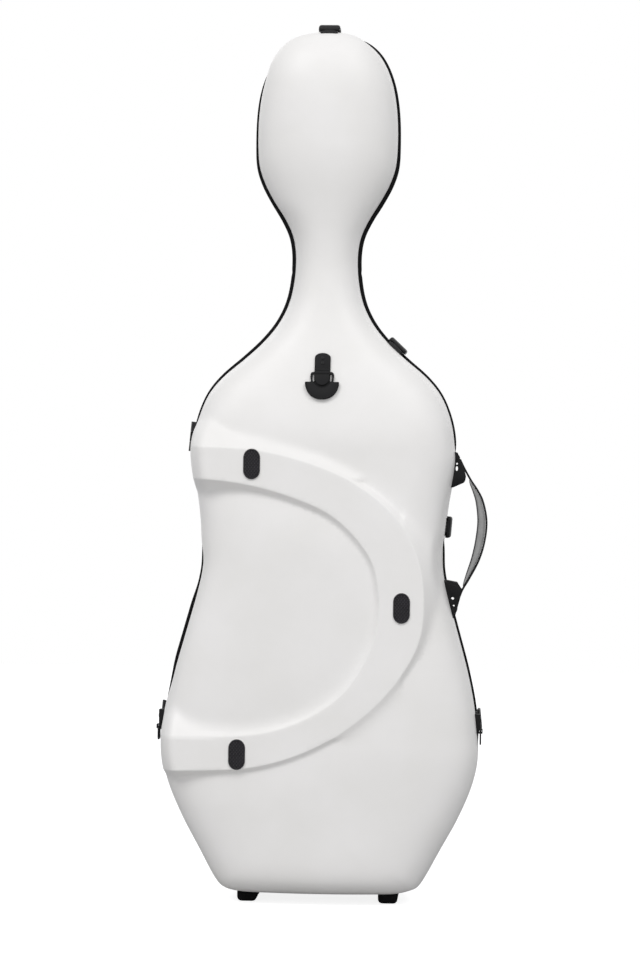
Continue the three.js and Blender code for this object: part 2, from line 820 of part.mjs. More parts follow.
// An arch between the brackets' outer corners, set in from the strap's outer face by startOut
function archShape(startOut, thick, spanShare, endShare) {
  const topEnd = level.upperBracket + bracketUpperTall * handleTopShare;
  const bottomEnd = level.lowerBracket + bracketLowerTall * handleBottomShare;
  const middle = (topEnd + bottomEnd) * half;
  const rise = topEnd - middle;
  const topOut = rimFrameAt(topEnd, 1).x + bracketUpperOut;
  const bottomOut = rimFrameAt(bottomEnd, 1).x + bracketLowerOut;
  const outside = [];
  const inside = [];
  for (let step = 0; step <= strapSteps; step += 1) {
    const along = (step / strapSteps) * 2 - 1;
    const share = along * spanShare;
    const wave = Math.cos(share * Math.PI * half);
    const out = lerp(bottomOut, topOut, (share + 1) * half) + handleRise * wave - startOut;
    const z = middle + rise * share;
    const full = endShare + (1 - endShare) * (1 - along ** 2);
    outside.push([out, z]);
    inside.push([out - thick * full, z]);
  }
  return polygon([...outside, ...inside.reverse()]);
}

// Holes right through a bracket, each a share of the way up and so many times as tall as it is wide
function bracketHoles(bottom, tall, near, far, shares) {
  return shares.map(([up, taller]) => {
    const z = bottom + tall * up;
    const hole = slabAlongY(ovalShape(bracketHole, bracketHole * taller, 10), far - overrun, near + overrun);
    return hole.translate(rimFrameAt(z, 1).x - rimProud + bracketHoleOut, 0, z);
  });
}

function addHandle() {
  const near = -handleBack + handleWidth * half;
  const far = -handleBack - handleWidth * half;
  const brackets = [
    ['upper', level.upperBracket, bracketUpperTall, bracketUpperOut, bracketUpperShares, upperHoleShares],
    ['lower', level.lowerBracket, bracketLowerTall, bracketLowerOut, bracketLowerShares, lowerHoleShares],
  ];
  const rooms = [];
  for (const [name, bottom, tall, out, shares, holeShares] of brackets) {
    const solid = slabAlongY(bracketShape(bottom, bottom + tall, out, shares), far, near);
    const holes = bracketHoles(bottom, tall, near, far, holeShares);
    addMesh(`handle_bracket_${name}`, cut(solid, backOuterGap, ...holes), blackPlastic);
    rooms.push(slabAlongY(
      bracketShape(bottom - fit, bottom + tall + fit, out + fit, shares), far - overrun, near + overrun));
  }
  const strap = slabAlongY(archShape(0, strapThick, 1, 1), far + strapThick, near - strapThick);
  addMesh('handle_strap', cut(strap, ...rooms), webbing);
  const grip = slabAlongY(archShape(strapThick + fit, gripThick, gripShare, gripEndShare), far, near);
  addMesh('handle_grip', cut(grip, ...rooms), greyPad);
}

// Strap anchor high on the back shell, in a group tilted to the shell's own slope
function anchorPlace() {
  const step = overrun;
  const below = blend(level.anchor - step, backDepths);
  const above = blend(level.anchor + step, backDepths);
  const slope = (below - above) / (step * 2);
  const place = new THREE.Group();
  place.position.set(0, -blend(level.anchor, backDepths), level.anchor);
  place.rotation.x = -Math.atan(slope);
  caseGroup.add(place);
  return place;
}

function anchorPlate() {
  const side = anchorWidth * half;
  const tab = new THREE.Shape();
  tab.moveTo(-side, -anchorBar * 2);
  tab.lineTo(side, -anchorBar * 2);
  tab.lineTo(side, anchorTab - side * half);
  tab.quadraticCurveTo(side * half, anchorTab, 0, anchorTab);
  tab.quadraticCurveTo(-side * half, anchorTab, -side, anchorTab - side * half);
  const tongueSide = side - fit * 2;
  const tongue = new THREE.Shape();
  tongue.moveTo(-tongueSide, 0);
  tongue.lineTo(-tongueSide, -anchorTongue * half);
  tongue.quadraticCurveTo(-tongueSide * half, -anchorTongue, 0, -anchorTongue);
  tongue.quadraticCurveTo(tongueSide * half, -anchorTongue, tongueSide, -anchorTongue * half);
  tongue.lineTo(tongueSide, 0);
  const face = -anchorOut - anchorBar - fit - anchorThick * half;
  const bridge = block(-side, side, face, anchorThick, -anchorBar * 2, anchorBar * 2);
  const whole = joined(
    slabAlongY(tab, face + anchorThick, anchorThick, 4), bridge,
    slabAlongY(tongue, face, face + anchorThick, 4));
  return cut(whole, rod(anchorBar + boreClear, anchorWidth + overrun, 10).rotateY(Math.PI * half)
    .translate(0, -anchorOut, 0));
}

function anchorRing() {
  const outerSide = ringOuter * half;
  const innerSide = outerSide - ringArm;
  const wide = crescentWidth * half;
  const frame = new THREE.Shape();
  frame.moveTo(-outerSide + ringArm, anchorBar);
  frame.lineTo(outerSide - ringArm, anchorBar);
  frame.quadraticCurveTo(outerSide, 0, outerSide, -ringArm * 2);
  frame.lineTo(outerSide - ringArm * half, -ringDrop);
  frame.lineTo(wide, -ringDrop);
  frame.absellipse(0, -ringDrop, wide, crescentDrop - ringDrop, 0, -Math.PI, true);
  frame.lineTo(-outerSide + ringArm * half, -ringDrop);
  frame.lineTo(-outerSide, -ringArm * 2);
  frame.quadraticCurveTo(-outerSide, 0, -outerSide + ringArm, anchorBar);
  const opening = new THREE.Path();
  opening.moveTo(-innerSide, -anchorBar);
  opening.lineTo(-innerSide + ringArm * half, -ringDrop);
  const deep = -anchorTongue - ringArm;
  opening.quadraticCurveTo(-innerSide * ringBowShare, deep, 0, deep);
  opening.quadraticCurveTo(innerSide * ringBowShare, deep, innerSide - ringArm * half, -ringDrop);
  opening.lineTo(innerSide, -anchorBar);
  frame.holes.push(opening);
  const plate = slabAlongY(frame, -anchorOut - crescentThick * half, -anchorOut + crescentThick * half, 5);
  const room = block(-innerSide, innerSide, -anchorOut - overrun * 2, -anchorOut + overrun * 2,
    -anchorBar - fit, anchorBar + fit);
  const bar = rod(anchorBar, innerSide * 2 + ringArm, 10).rotateY(Math.PI * half).translate(0, -anchorOut, 0);
  return joined(cut(plate, room), bar);
}

function addAnchor() {
  const place = anchorPlace();
  const screws = [['upper', screwUpper], ['lower', screwLower]];
  const face = -anchorOut - anchorBar - fit + anchorThick * half;
  addMesh('anchor_plate', cutInPlace(anchorPlate(), place, backOuterGap), blackPlastic, place);
  addMesh('anchor_ring', anchorRing(), blackPlastic, place);
  for (const [name, up] of screws) {
    const head = new THREE.CylinderGeometry(screwRadius, screwRadius, screwHead, 10);
    const mesh = addMesh(`anchor_screw_${name}`, head, steel, place);
    mesh.position.set(0, face - fit - screwHead * half, up);
  }
}

// Strap anchors low on both sides, each with a hanging ring
function sideRing() {
  const side = sideRingWidth * half;
  const wire = sideRingWire;
  return joined(
    block(-wire, wire, -side, side, -wire, wire),
    block(-wire, wire, -side, -side + wire * 2, -sideRingDrop, 0),
    block(-wire, wire, side - wire * 2, side, -sideRingDrop, 0),
    block(-wire, wire, -side, side, -sideRingDrop - wire * 2, -sideRingDrop));
}

function addSideAnchors() {
  for (const [name, side] of [['left', -1], ['right', 1]]) {
    const frame = rimFrameAt(level.sideAnchor, side);
    const place = new THREE.Group();
    place.position.set(frame.x, -sideAnchorBack, frame.z);
    caseGroup.add(place);
    const out = side * sideRingOut * half;
    addMesh(`side_anchor_${name}`, sideAnchor(place, side), blackPlastic, place);
    const ring = addMesh(`side_ring_${name}`, sideRing(), blackMetal, place);
    ring.position.set(out, 0, 0);
  }
}

function sideAnchor(place, side) {
  const wide = sideAnchorWidth * half;
  const out = sideRingOut * half;
  const shell = sideRingWire + boreClear;
  const cover = shell * Math.SQRT2 + sideAnchorWall;
  const spans = [-side * leafSink, side * (out + cover)].sort((a, b) => a - b);
  const body = block(...spans, -wide, wide, -cover, cover);
  const plateSpans = [-side * leafSink, side * sideAnchorOut].sort((a, b) => a - b);
  const plate = block(...plateSpans, -wide, wide, 0, sideAnchorTall);
  const bore = rod(shell * Math.SQRT2, sideAnchorWidth + overrun, 8).rotateX(Math.PI * half);
  bore.translate(side * out, 0, 0);
  return cutInPlace(cut(joined(body, plate), bore), place, backOuterGap);
}

// Foam supports in the back shell, each cut to the lining
function insideRoom(shell) {
  return dome({
    ...shell, inset: rimProud + wall + lining + fit * 2, less: wall + lining + fit * 2, lip: -overrun,
    ringShares: innerRingShares });
}

function addSupports() {
  const room = insideRoom(backSide);
  const deep = -backBodyDepth;
  const open = -supportOpen;
  const cradleWidth = neckWidth;
  let cradle = block(-cradleWidth, cradleWidth, deep, open, level.cradle, level.cradle + cradleLength);
  const notch = new THREE.Shape();
  notch.absarc(0, 0, cradleNotch, Math.PI, Math.PI * 2, false);
  notch.lineTo(cradleNotch, backBodyDepth);
  notch.lineTo(-cradleNotch, backBodyDepth);
  const notchSolid = slab(notch, cradleLength * 2, 8)
    .translate(0, open - cradleDepth + cradleNotch, level.cradle + cradleLength * half);
  cradle = cut(shared(cradle, room), notchSolid);
  addMesh('neck_cradle', cradle, foam);
  for (const [name, height, width] of [
    ['upper', level.upperBout + boutPadLift, upperBoutWidth],
    ['lower', level.lowerBout + boutPadLift, lowerBoutWidth]]) {
    for (const [sideName, side] of [['left', -1], ['right', 1]]) {
      const edge = width * half - rimProud - wall - lining;
      const spans = [side * (edge - boutPadWidth), side * width].sort((a, b) => a - b);
      const pad = block(...spans, deep, open, height - boutPadLength * half, height + boutPadLength * half);
      addMesh(`${name}_pad_${sideName}`, shared(pad, room), foam);
    }
  }
  const endTop = level.floorEnd + endBlockHeight;
  const endBlock = block(-endBlockWidth * half, endBlockWidth * half, deep, open, 0, endTop);
  const bore = rod(endBore, endBoreDepth * 2, 16).translate(0, -backBodyDepth * half, endTop);
  addMesh('end_block', cut(shared(endBlock, room), bore), foam);
}

// Bow holders on the lid's lining
function addBowHolders() {
  const room = insideRoom(lidSide);
  for (const [name, side] of [['left', -1], ['right', 1]]) {
    const floor = lidBodyDepth - wall - lining - fit;
    const x = side * bowSpread * half;
    const post = new THREE.CylinderGeometry(bowClipRadius, bowClipRadius, bowClipRise * 3, 12)
      .translate(x, floor, level.bowClip);
    const top = floor - bowClipRise;
    const above = block(-lidBodyDepth, lidBodyDepth, -overrun, top, 0, level.bowRest);
    addMesh(`bow_clip_${name}`, cut(shared(post, room), above), blackPlastic);
    const turn = new THREE.ExtrudeGeometry(
      ovalShape(bowTurnWidth, bowTurnLength, 16), { depth: bowTurnThick, bevelEnabled: false });
    turn.rotateX(Math.PI * half);
    const mesh = addMesh(`bow_turn_${name}`, turn, blackPlastic);
    mesh.position.set(x, top - fit, level.bowClip);
  }
  const restFloor = blend(level.bowRest, lidDepths) - wall - lining - bowRestRise;
  const bar = block(-bowRestWidth * half, bowRestWidth * half, restFloor, lidBodyDepth, level.bowRest,
    level.bowRest + bowRestLength);
  const grooves = [-1, 1].map((side) => rod(bowGroove * half, bowRestLength * 4, 12)
    .translate(side * bowGrooveSpread * half, restFloor, level.bowRest));
  addMesh('bow_rest', cut(shared(bar, room), ...grooves), foam);
}

addBackShell();
addLidShell();
addLiner('back_liner', backSide);
addLiner('front_liner', lidSide);
addRim('back_rim', -1);
addRim('front_rim', 1);
addPads();
addFeet();
addLatches();
addHinges();
addHandle();
addAnchor();
addSideAnchors();
addSupports();
addBowHolders();

// The origin is the middle of the case's underside
const bounds = new THREE.Box3().setFromObject(caseGroup);
const centre = bounds.getCenter(new THREE.Vector3());
caseGroup.position.set(-centre.x, -centre.y, -bounds.min.z);

export default caseGroup;
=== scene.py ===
import json
import math

import bmesh
import bpy
import numpy as np
from mathutils import Euler, Matrix, Vector


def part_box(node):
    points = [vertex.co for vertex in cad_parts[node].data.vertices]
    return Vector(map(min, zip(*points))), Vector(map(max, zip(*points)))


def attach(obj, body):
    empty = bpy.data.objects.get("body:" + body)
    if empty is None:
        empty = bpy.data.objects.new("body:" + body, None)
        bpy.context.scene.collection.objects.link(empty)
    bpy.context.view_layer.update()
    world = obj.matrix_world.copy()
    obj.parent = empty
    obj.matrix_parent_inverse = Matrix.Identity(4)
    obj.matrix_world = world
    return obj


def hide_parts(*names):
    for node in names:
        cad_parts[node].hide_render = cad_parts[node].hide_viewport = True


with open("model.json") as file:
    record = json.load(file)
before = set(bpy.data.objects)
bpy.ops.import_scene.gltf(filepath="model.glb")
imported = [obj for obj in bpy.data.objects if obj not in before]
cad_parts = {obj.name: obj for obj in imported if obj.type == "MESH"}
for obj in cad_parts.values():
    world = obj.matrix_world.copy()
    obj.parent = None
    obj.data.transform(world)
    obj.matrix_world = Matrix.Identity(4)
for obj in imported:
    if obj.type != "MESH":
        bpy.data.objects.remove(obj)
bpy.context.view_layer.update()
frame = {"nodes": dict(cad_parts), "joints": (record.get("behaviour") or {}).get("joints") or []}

millimetre, seamGap = 0.001, 0.2
joints = {joint["name"]: joint for joint in frame["joints"]}
rimLow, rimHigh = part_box("back_rim")
centreX = (rimLow.x + rimHigh.x) / 2             # the case's centre line
seamY = rimHigh.y + seamGap * millimetre         # the plane where the two shells meet
print("frame loaded:", len(frame["nodes"]), "nodes")


# small helpers
def placed(x, y, z):
    # takes millimetres about a point to the frame's metres
    return Matrix.Translation((x, y, z)) @ Matrix.Scale(millimetre, 4)


caseFrame = placed(centreX, seamY, 0)


def localFrame(origin, outward, along):
    # X points out of the case, Z runs along the rim, and Y is square to both
    turn = Matrix((outward, Vector(along).cross(Vector(outward)), along)).transposed().to_4x4()
    return Matrix.Translation(origin) @ turn @ Matrix.Scale(millimetre, 4)


def turned(way):
    return Vector(way).to_track_quat("Z", "Y").to_matrix().to_4x4()


def linear(hexText):
    parts = [int(hexText[i:i + 2], 16) / 255 for i in (1, 3, 5)]
    return (*(p / 12.92 if p <= 0.04045 else ((p + 0.055) / 1.055) ** 2.4 for p in parts), 1.0)


def addNode(tree, kind, settings=None, links=None):
    node = tree.nodes.new(kind)
    for key, value in (settings or {}).items():
        if isinstance(key, int) or (key in node.inputs and not hasattr(node, key)):
            node.inputs[key].default_value = value
        else:
            setattr(node, key, value)
    for key, socket in (links or {}).items():
        tree.links.new(socket, node.inputs[key])
    return node


def meshFrom(bm, name):
    mesh = bpy.data.meshes.new(name)
    bm.to_mesh(mesh)
    bm.free()
    return mesh


def linked(name, data):
    made = bpy.data.objects.new(name, data)
    bpy.context.scene.collection.objects.link(made)
    return made


def addPiece(name, bm, material, slot, body, *nodes, smooth=35, matrix=caseFrame):
    if matrix is not None:
        bmesh.ops.transform(bm, matrix=matrix, verts=bm.verts)
    bmesh.ops.remove_doubles(bm, verts=bm.verts, dist=2e-6)
    bmesh.ops.dissolve_degenerate(bm, edges=bm.edges, dist=1e-6)
    bmesh.ops.recalc_face_normals(bm, faces=bm.faces)
    mesh = meshFrom(bm, name)
    mesh.materials.append(material)
    mesh.shade_smooth()
    mesh.set_sharp_from_angle(angle=math.radians(smooth))
    piece = linked(name, mesh)
    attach(piece, body)
    if nodes:
        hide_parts(*nodes)
    return piece


def softenEdges(bm, width, segments=2, angle=35):
    edges = [edge for edge in bm.edges if edge.is_manifold and edge.calc_face_angle(0) > math.radians(angle)]
    bmesh.ops.bevel(bm, geom=edges, offset=width, offset_type="OFFSET", segments=segments, profile=0.5,
                    affect="EDGES", material=-1, clamp_overlap=True)


def joinInto(bm, other):
    spare = meshFrom(other, "spare")
    bm.from_mesh(spare)
    bpy.data.meshes.remove(spare)
    return bm


def loftRows(rows, ring=False, capped=False):
    # a grid bent round: each row of positions becomes one closed loop
    count, last = len(rows[0]), len(rows) if ring else len(rows) - 1
    made = bmesh.new()
    bmesh.ops.create_grid(made, x_segments=count, y_segments=last, size=1)
    for vert in made.verts:
        column = round((vert.co.x + 1) / 2 * count) % count
        row = round((vert.co.y + 1) / 2 * last) % len(rows)
        vert.co = rows[row][column]
    bmesh.ops.remove_doubles(made, verts=made.verts, dist=1e-4)
    if capped:
        bmesh.ops.holes_fill(made, edges=[edge for edge in made.edges if edge.is_boundary], sides=0)
    bmesh.ops.recalc_face_normals(made, faces=made.faces)
    return made


def cutPlate(points, near, far, holes=(), bevel=0.0, segments=2, flat="XZ"):
    # a plate from its outline and its holes, drawn in one plane and pushed through the third direction
    bm = bmesh.new()
    edges = []
    places = {"XZ": lambda a, b: (a, near, b), "XY": lambda a, b: (a, b, near), "YZ": lambda a, b: (near, a, b)}
    for loop in (points, *holes):
        verts = [bm.verts.new(places[flat](a, b)) for a, b in loop]
        edges += [bm.edges.new(pair) for pair in zip(verts, verts[1:] + verts[:1])]
    bmesh.ops.triangle_fill(bm, edges=edges, use_beauty=True, use_dissolve=not holes)
    made = bmesh.ops.extrude_face_region(bm, geom=list(bm.faces))
    way = {"XZ": (0, far - near, 0), "XY": (0, 0, far - near), "YZ": (far - near, 0, 0)}[flat]
    bmesh.ops.translate(bm, vec=way, verts=[g for g in made["geom"] if isinstance(g, bmesh.types.BMVert)])
    bmesh.ops.recalc_face_normals(bm, faces=bm.faces)
    if bevel:
        softenEdges(bm, bevel, segments)
    return bm


def addRod(bm, radius, start, end, sides=28, bevel=0.0):
    start, end = Vector(start), Vector(end)
    place = Matrix.Translation((start + end) / 2) @ turned(end - start)
    rod = bmesh.new()
    bmesh.ops.create_cone(rod, cap_ends=True, segments=sides, radius1=radius, radius2=radius,
                          depth=(end - start).length, matrix=place)
    if bevel:
        softenEdges(rod, bevel, 2, 60)
    return joinInto(bm, rod)


def addScrew(bm, centre, outward, radius, rise):
    # a domed head with a round drive recess
    head = bmesh.new()
    bmesh.ops.create_cone(head, cap_ends=True, segments=30, radius1=radius, radius2=radius * 0.94, depth=rise)
    softenEdges(head, rise * 0.45, 3, 50)
    top = max(head.faces, key=lambda face: face.calc_center_median().z)
    bmesh.ops.inset_region(head, faces=[top], thickness=radius * 0.36)
    bmesh.ops.inset_region(head, faces=[top], thickness=radius * 0.03, depth=-rise * 0.6)
    bmesh.ops.transform(head, matrix=Matrix.Translation(centre) @ turned(outward), verts=head.verts)
    return joinInto(bm, head)


def arc(x, y, wide, tall, start, end, count):
    # points along an ellipse between two angles in degrees
    angles = np.radians(np.linspace(start, end, count))
    return [(x + math.cos(angle) * wide, y + math.sin(angle) * tall) for angle in angles]


def circle(radius, sides):
    return arc(0, 0, radius, radius, 0, 360 - 360 / sides, sides)


def roundedBox(x0, x1, y0, y1, radiusX, radiusY=None, steps=5):
    radiusY = radiusX if radiusY is None else radiusY
    right, left, low, high = x1 - radiusX, x0 + radiusX, y0 + radiusY, y1 - radiusY
    corners = ((right, low, -90), (right, high, 0), (left, high, 90), (left, low, 180))
    return [point for x, y, start in corners
            for point in arc(x, y, radiusX, radiusY, start, start + 90, steps + 1)]


def copyOf(node, bevel=0.0):
    # a node's own solid with its loose triangles merged and its edges rounded
    bm = bmesh.new()
    bm.from_mesh(frame["nodes"][node].data)
    bmesh.ops.remove_doubles(bm, verts=bm.verts, dist=1e-5)
    bmesh.ops.dissolve_limit(bm, angle_limit=math.radians(1.5), verts=bm.verts, edges=bm.edges)
    if bevel:
        softenEdges(bm, bevel * millimetre, 3)
    return bm


# camera and light
cameraSettings = {"azimuth": 3.0, "distance": 5.0, "height": 0.6468, "aside": -0.0066, "roll": 0.74,
                  "pixel": 1.548, "tall": 960}
azimuth = math.radians(cameraSettings["azimuth"])
towardCamera = Vector((math.sin(azimuth), -math.cos(azimuth), 0))
cameraData = bpy.data.cameras.new("camera")
camera = linked("camera", cameraData)
cameraData.lens = (cameraData.sensor_width * cameraSettings["distance"]
                   / (cameraSettings["tall"] * cameraSettings["pixel"] * millimetre))
camera.location = (Vector((centreX + cameraSettings["aside"], seamY, cameraSettings["height"]))
                   + towardCamera * cameraSettings["distance"])
camera.rotation_mode = "QUATERNION"
camera.rotation_quaternion = ((-towardCamera).to_track_quat("-Z", "Y")
                              @ Euler((0, 0, math.radians(cameraSettings["roll"]))).to_quaternion())
bpy.context.scene.camera = camera

lightSettings = {
    "world": 0.49, "worldColour": "#F6F8FC", "floorGlow": 0.85, "floorColour": "#B6B6B6",
    # each lamp's name, place, aim, size in metres and power in watts
    "lamps": (("keyLeft", (-4.4, -7.2, 9.6), (0, 0, 0.6), 4.4, 425),
              ("keyRight", (4.4, -7.2, 9.6), (0, 0, 0.6), 4.4, 345),
              ("front", (0.2, -5.6, 1.6), (0, 0, 0.8), 2.6, 36),
              ("rearLeft", (-1.9, 2.7, 2.4), (0, 0, 0.7), 1.8, 8),
              ("rearRight", (1.9, 2.7, 2.4), (0, 0, 0.7), 1.8, 8)),
}
for lampName, at, to, size, power in lightSettings["lamps"]:
    lamp = linked(lampName, bpy.data.lights.new(lampName, "AREA"))
    lamp.data.size, lamp.data.energy = size, power
    lamp.location, lamp.rotation_mode = at, "QUATERNION"
    lamp.rotation_quaternion = (Vector(to) - Vector(at)).to_track_quat("-Z", "Y")
    lamp.visible_camera = False


def makeMaterial(name, colour, roughness, shader=None, tone=None, stops=(), gloss=None, relief=None):
    # one build for all: a clouded colour, an uneven gloss and a fine relief, each where it is given
    material = bpy.data.materials.new(name)
    material.use_nodes = True
    tree = material.node_tree
    surface = tree.nodes["Principled BSDF"].inputs
    for key, value in {"Base Color": linear(colour), "Roughness": roughness, **(shader or {})}.items():
        surface[key].default_value = value
    coords = addNode(tree, "ShaderNodeTexCoord").outputs["Object"]

    def pattern(textures):
        # one texture's value, or the product of two
        values = [addNode(tree, "ShaderNodeTex" + kind, settings, {"Vector": coords}).outputs[output]
                  for kind, output, settings in textures]
        if len(values) == 1:
            return values[0]
        return addNode(tree, "ShaderNodeMath", {"operation": "MULTIPLY"}, dict(enumerate(values))).outputs[0]

    if tone:
        ramp = addNode(tree, "ShaderNodeValToRGB", links={"Fac": pattern(tone)})
        for element, (position, shade) in zip(ramp.color_ramp.elements, stops):
            element.position, element.color = position, linear(shade)
        tree.links.new(ramp.outputs["Color"], surface["Base Color"])
    if gloss:
        textures, low, high = gloss
        rough = addNode(tree, "ShaderNodeMapRange", {"To Min": low, "To Max": high}, {"Value": pattern(textures)})
        tree.links.new(rough.outputs[0], surface["Roughness"])
    if relief:
        textures, strength, distance = relief
        bump = addNode(tree, "ShaderNodeBump", {"Strength": strength, "Distance": distance}, {
            "Height": pattern(textures)})
        tree.links.new(bump.outputs["Normal"], surface["Normal"])
    return material


def makeStudio(settings):
    world = bpy.data.worlds.new("studio")
    world.use_nodes = True
    bpy.context.scene.world = world
    tree = world.node_tree
    tree.nodes.clear()
    path = addNode(tree, "ShaderNodeLightPath").outputs
    seen = addNode(tree, "ShaderNodeMath", {"operation": "MAXIMUM"}, {
        0: path["Is Camera Ray"], 1: path["Is Transmission Ray"]})
    shown = addNode(tree, "ShaderNodeMath", {"operation": "MAXIMUM"}, {0: seen.outputs[0], 1: path["Is Glossy Ray"]})
    soft = addNode(tree, "ShaderNodeBackground", {
        "Color": linear(settings["worldColour"]), "Strength": settings["world"]})
    white = addNode(tree, "ShaderNodeBackground", {"Color": (1, 1, 1, 1), "Strength": 1.0})
    mix = addNode(tree, "ShaderNodeMixShader", links={0: shown.outputs[0], 1: soft.outputs[0], 2: white.outputs[0]})
    addNode(tree, "ShaderNodeOutputWorld", links={"Surface": mix.outputs[0]})

    bm = bmesh.new()
    bmesh.ops.create_grid(bm, x_segments=1, y_segments=1, size=6)
    floor = linked("floor", meshFrom(bm, "floor"))
    # pale studio paper: the camera sees it lifted to white, and it keeps the case's shadow
    paper = makeMaterial("studioPaper", settings["floorColour"], 0.9)
    tree = paper.node_tree
    path = addNode(tree, "ShaderNodeLightPath").outputs
    glow = addNode(tree, "ShaderNodeEmission", {"Color": (1, 1, 1, 1), "Strength": settings["floorGlow"]})
    dark = addNode(tree, "ShaderNodeEmission", {"Strength": 0.0})
    lift = addNode(tree, "ShaderNodeMixShader", links={
        0: path["Is Camera Ray"], 1: dark.outputs[0], 2: glow.outputs[0]})
    both = addNode(tree, "ShaderNodeAddShader", links={
        0: tree.nodes["Principled BSDF"].outputs[0], 1: lift.outputs[0]})
    tree.links.new(both.outputs[0], tree.nodes["Material Output"].inputs["Surface"])
    floor.data.materials.append(paper)


makeStudio(lightSettings)
bpy.context.scene.view_settings.view_transform = "Standard"
print("camera, lights and floor made")


# materials
# satin polyurethane lacquer on a moulded shell: an even white, faintly warm, its gloss broken by fine orange peel
lacquer = makeMaterial("satinWhiteLacquer", "#F0EEEC", 0.42, {"IOR": 1.5, "Specular IOR Level": 0.4},
                       [("Noise", "Fac", {"Scale": 9.0, "Detail": 3.0})], [(0.3, "#EEECE9"), (0.7, "#F3F1EF")],
                       ([("Noise", "Fac", {"Scale": 26.0, "Detail": 4.0})], 0.37, 0.49),
                       ([("Noise", "Fac", {"Scale": 420.0, "Detail": 2.0})], 0.12, 0.0001))


def makeDarkMoulding(name, dark, pale, roughness, level, cloudScale, grainScale, grainDepth):
    # dark fittings share one build: clouded colour and gloss, and a grain that breaks the highlight
    cloud = [("Noise", "Fac", {"Scale": cloudScale, "Detail": 5.0})]
    grain = [("Voronoi", "Distance", {"Scale": grainScale})]
    return makeMaterial(name, dark, roughness, {"IOR": 1.5, "Specular IOR Level": level}, cloud,
                        [(0.32, dark), (0.72, pale)], (cloud, roughness - 0.07, roughness + 0.09),
                        (grain, 0.3, grainDepth))


# extruded EPDM seal and moulded feet: matt and very dark
rubber = makeDarkMoulding("blackRubber", "#0A0A0B", "#101012", 0.7, 0.12, 60, 1600, 0.00015)
# softer thermoplastic rubber of the rest pads: a touch paler, its tone and gloss clouded at random
padRubber = makeDarkMoulding("softPadRubber", "#1C1A1D", "#28262A", 0.6, 0.3, 60, 1600, 0.00015)
# glass-filled nylon from a spark-eroded mould: dull black with soft broken highlights
nylon = makeDarkMoulding("mouldedBlackNylon", "#0A0A0B", "#121214", 0.52, 0.16, 80, 1500, 0.00012)
# black powder coat on pressed steel: satin, with a slight pebble
powderCoat = makeDarkMoulding("blackPowderCoat", "#0C0C0D", "#141416", 0.42, 0.24, 110, 900, 0.0001)
# bright zinc plating on turned pins: grey metal with fine marks in its gloss
steel = makeMaterial("zincPlatedSteel", "#A3A5A8", 0.34, {"Metallic": 1.0},
                     gloss=([("Noise", "Fac", {"Scale": 700.0, "Detail": 4.0})], 0.26, 0.48))
# short-pile polyester plush: soft and nearly matt, paler where it is seen at a slant
plush, foamCover = (
    makeMaterial(name, dark, 0.95, {"Sheen Weight": 0.45, "Sheen Roughness": 0.4, "Specular IOR Level": 0.2},
                 [("Noise", "Fac", {"Scale": 38.0, "Detail": 6.0, "Roughness": 0.62})], [(0.32, dark), (0.7, pale)],
                 relief=([("Noise", "Fac", {"Scale": 900.0, "Detail": 2.0})], 0.8, 0.0006))
    for name, dark, pale in (("charcoalPlush", "#26272C", "#3A3B42"), ("plushCoveredFoam", "#2E2F35", "#44454C")))
# synthetic leather over foam: pebbles about a millimetre across with fine creases between them; the darker copy is
# painted shade, laid on the grip's inner face where shade falls between the grip and the shell
gripLeather, gripShadeLeather = (
    makeMaterial(name, dark, 0.5, {"IOR": 1.45, "Specular IOR Level": 0.35},
                 [("Noise", "Fac", {"Scale": 70.0, "Detail": 3.0})], [(0.3, dark), (0.7, pale)],
                 relief=([("Voronoi", "Distance", {"Scale": 900.0, "feature": "DISTANCE_TO_EDGE"})], 0.2, 0.0001))
    for name, dark, pale in (("greyGripLeather", "#919190", "#9B9B9A"), ("gripLeatherPaintedShade", "#3A3A3C", "#4A4A4B")))
# tight nylon webbing: ribs 1.6 mm apart across the strap, finer threads along it
weave = [("Wave", "Fac", {"Scale": 196.0, "Distortion": 0.4, "bands_direction": "Z"}),
         ("Wave", "Fac", {"Scale": 320.0, "Distortion": 0.3, "bands_direction": "Y"})]
webbing = makeMaterial("blackNylonWebbing", "#0E0E0F", 0.75, {
    "Sheen Weight": 0.15, "Sheen Roughness": 0.5, "Specular IOR Level": 0.2}, weave,
    [(0.1, "#0A0A0B"), (0.8, "#1A1A1C")], relief=(weave, 0.6, 0.0003))
print("materials made")


# the case's outline and section, from the same sizes as its solids
outlineSizes = {
    "endWidth": 317, "lowerBoutWidth": 489, "waistWidth": 376, "upperBoutWidth": 409, "neckWidth": 107,
    "headWidth": 224, "crownLength": 173, "crownPower": 2.65, "steps": 8,
    "endRoundShares": ((0.04, 0.5), (0.14, 0.78), (0.45, 0.92)),
    "taperShares": ((0.25, 0.34), (0.5, 0.67), (0.75, 0.905)),
    "lowerShares": ((0.2, 0.065), (0.4, 0.27), (0.6, 0.555), (0.8, 0.84), (0.92, 0.975)),
    "upperShares": ((0.25, 0.05), (0.52, 0.34), (0.8, 0.84)),
    "shoulderShares": ((0.15, 0.034), (0.3, 0.143), (0.4, 0.292), (0.5, 0.51), (0.6, 0.71), (0.7, 0.856),
                       (0.82, 0.955)),
    "throatShares": ((0.2, 0.06), (0.35, 0.265), (0.5, 0.555), (0.65, 0.81), (0.8, 0.965)),
    "crownShares": (0.3, 0.55, 0.75, 0.88, 0.96),
}
level = {"floorEnd": 8, "end": 28, "lowerBout": 236, "waist": 531, "upperBout": 693, "neck": 980, "head": 1165,
         "top": 1338}


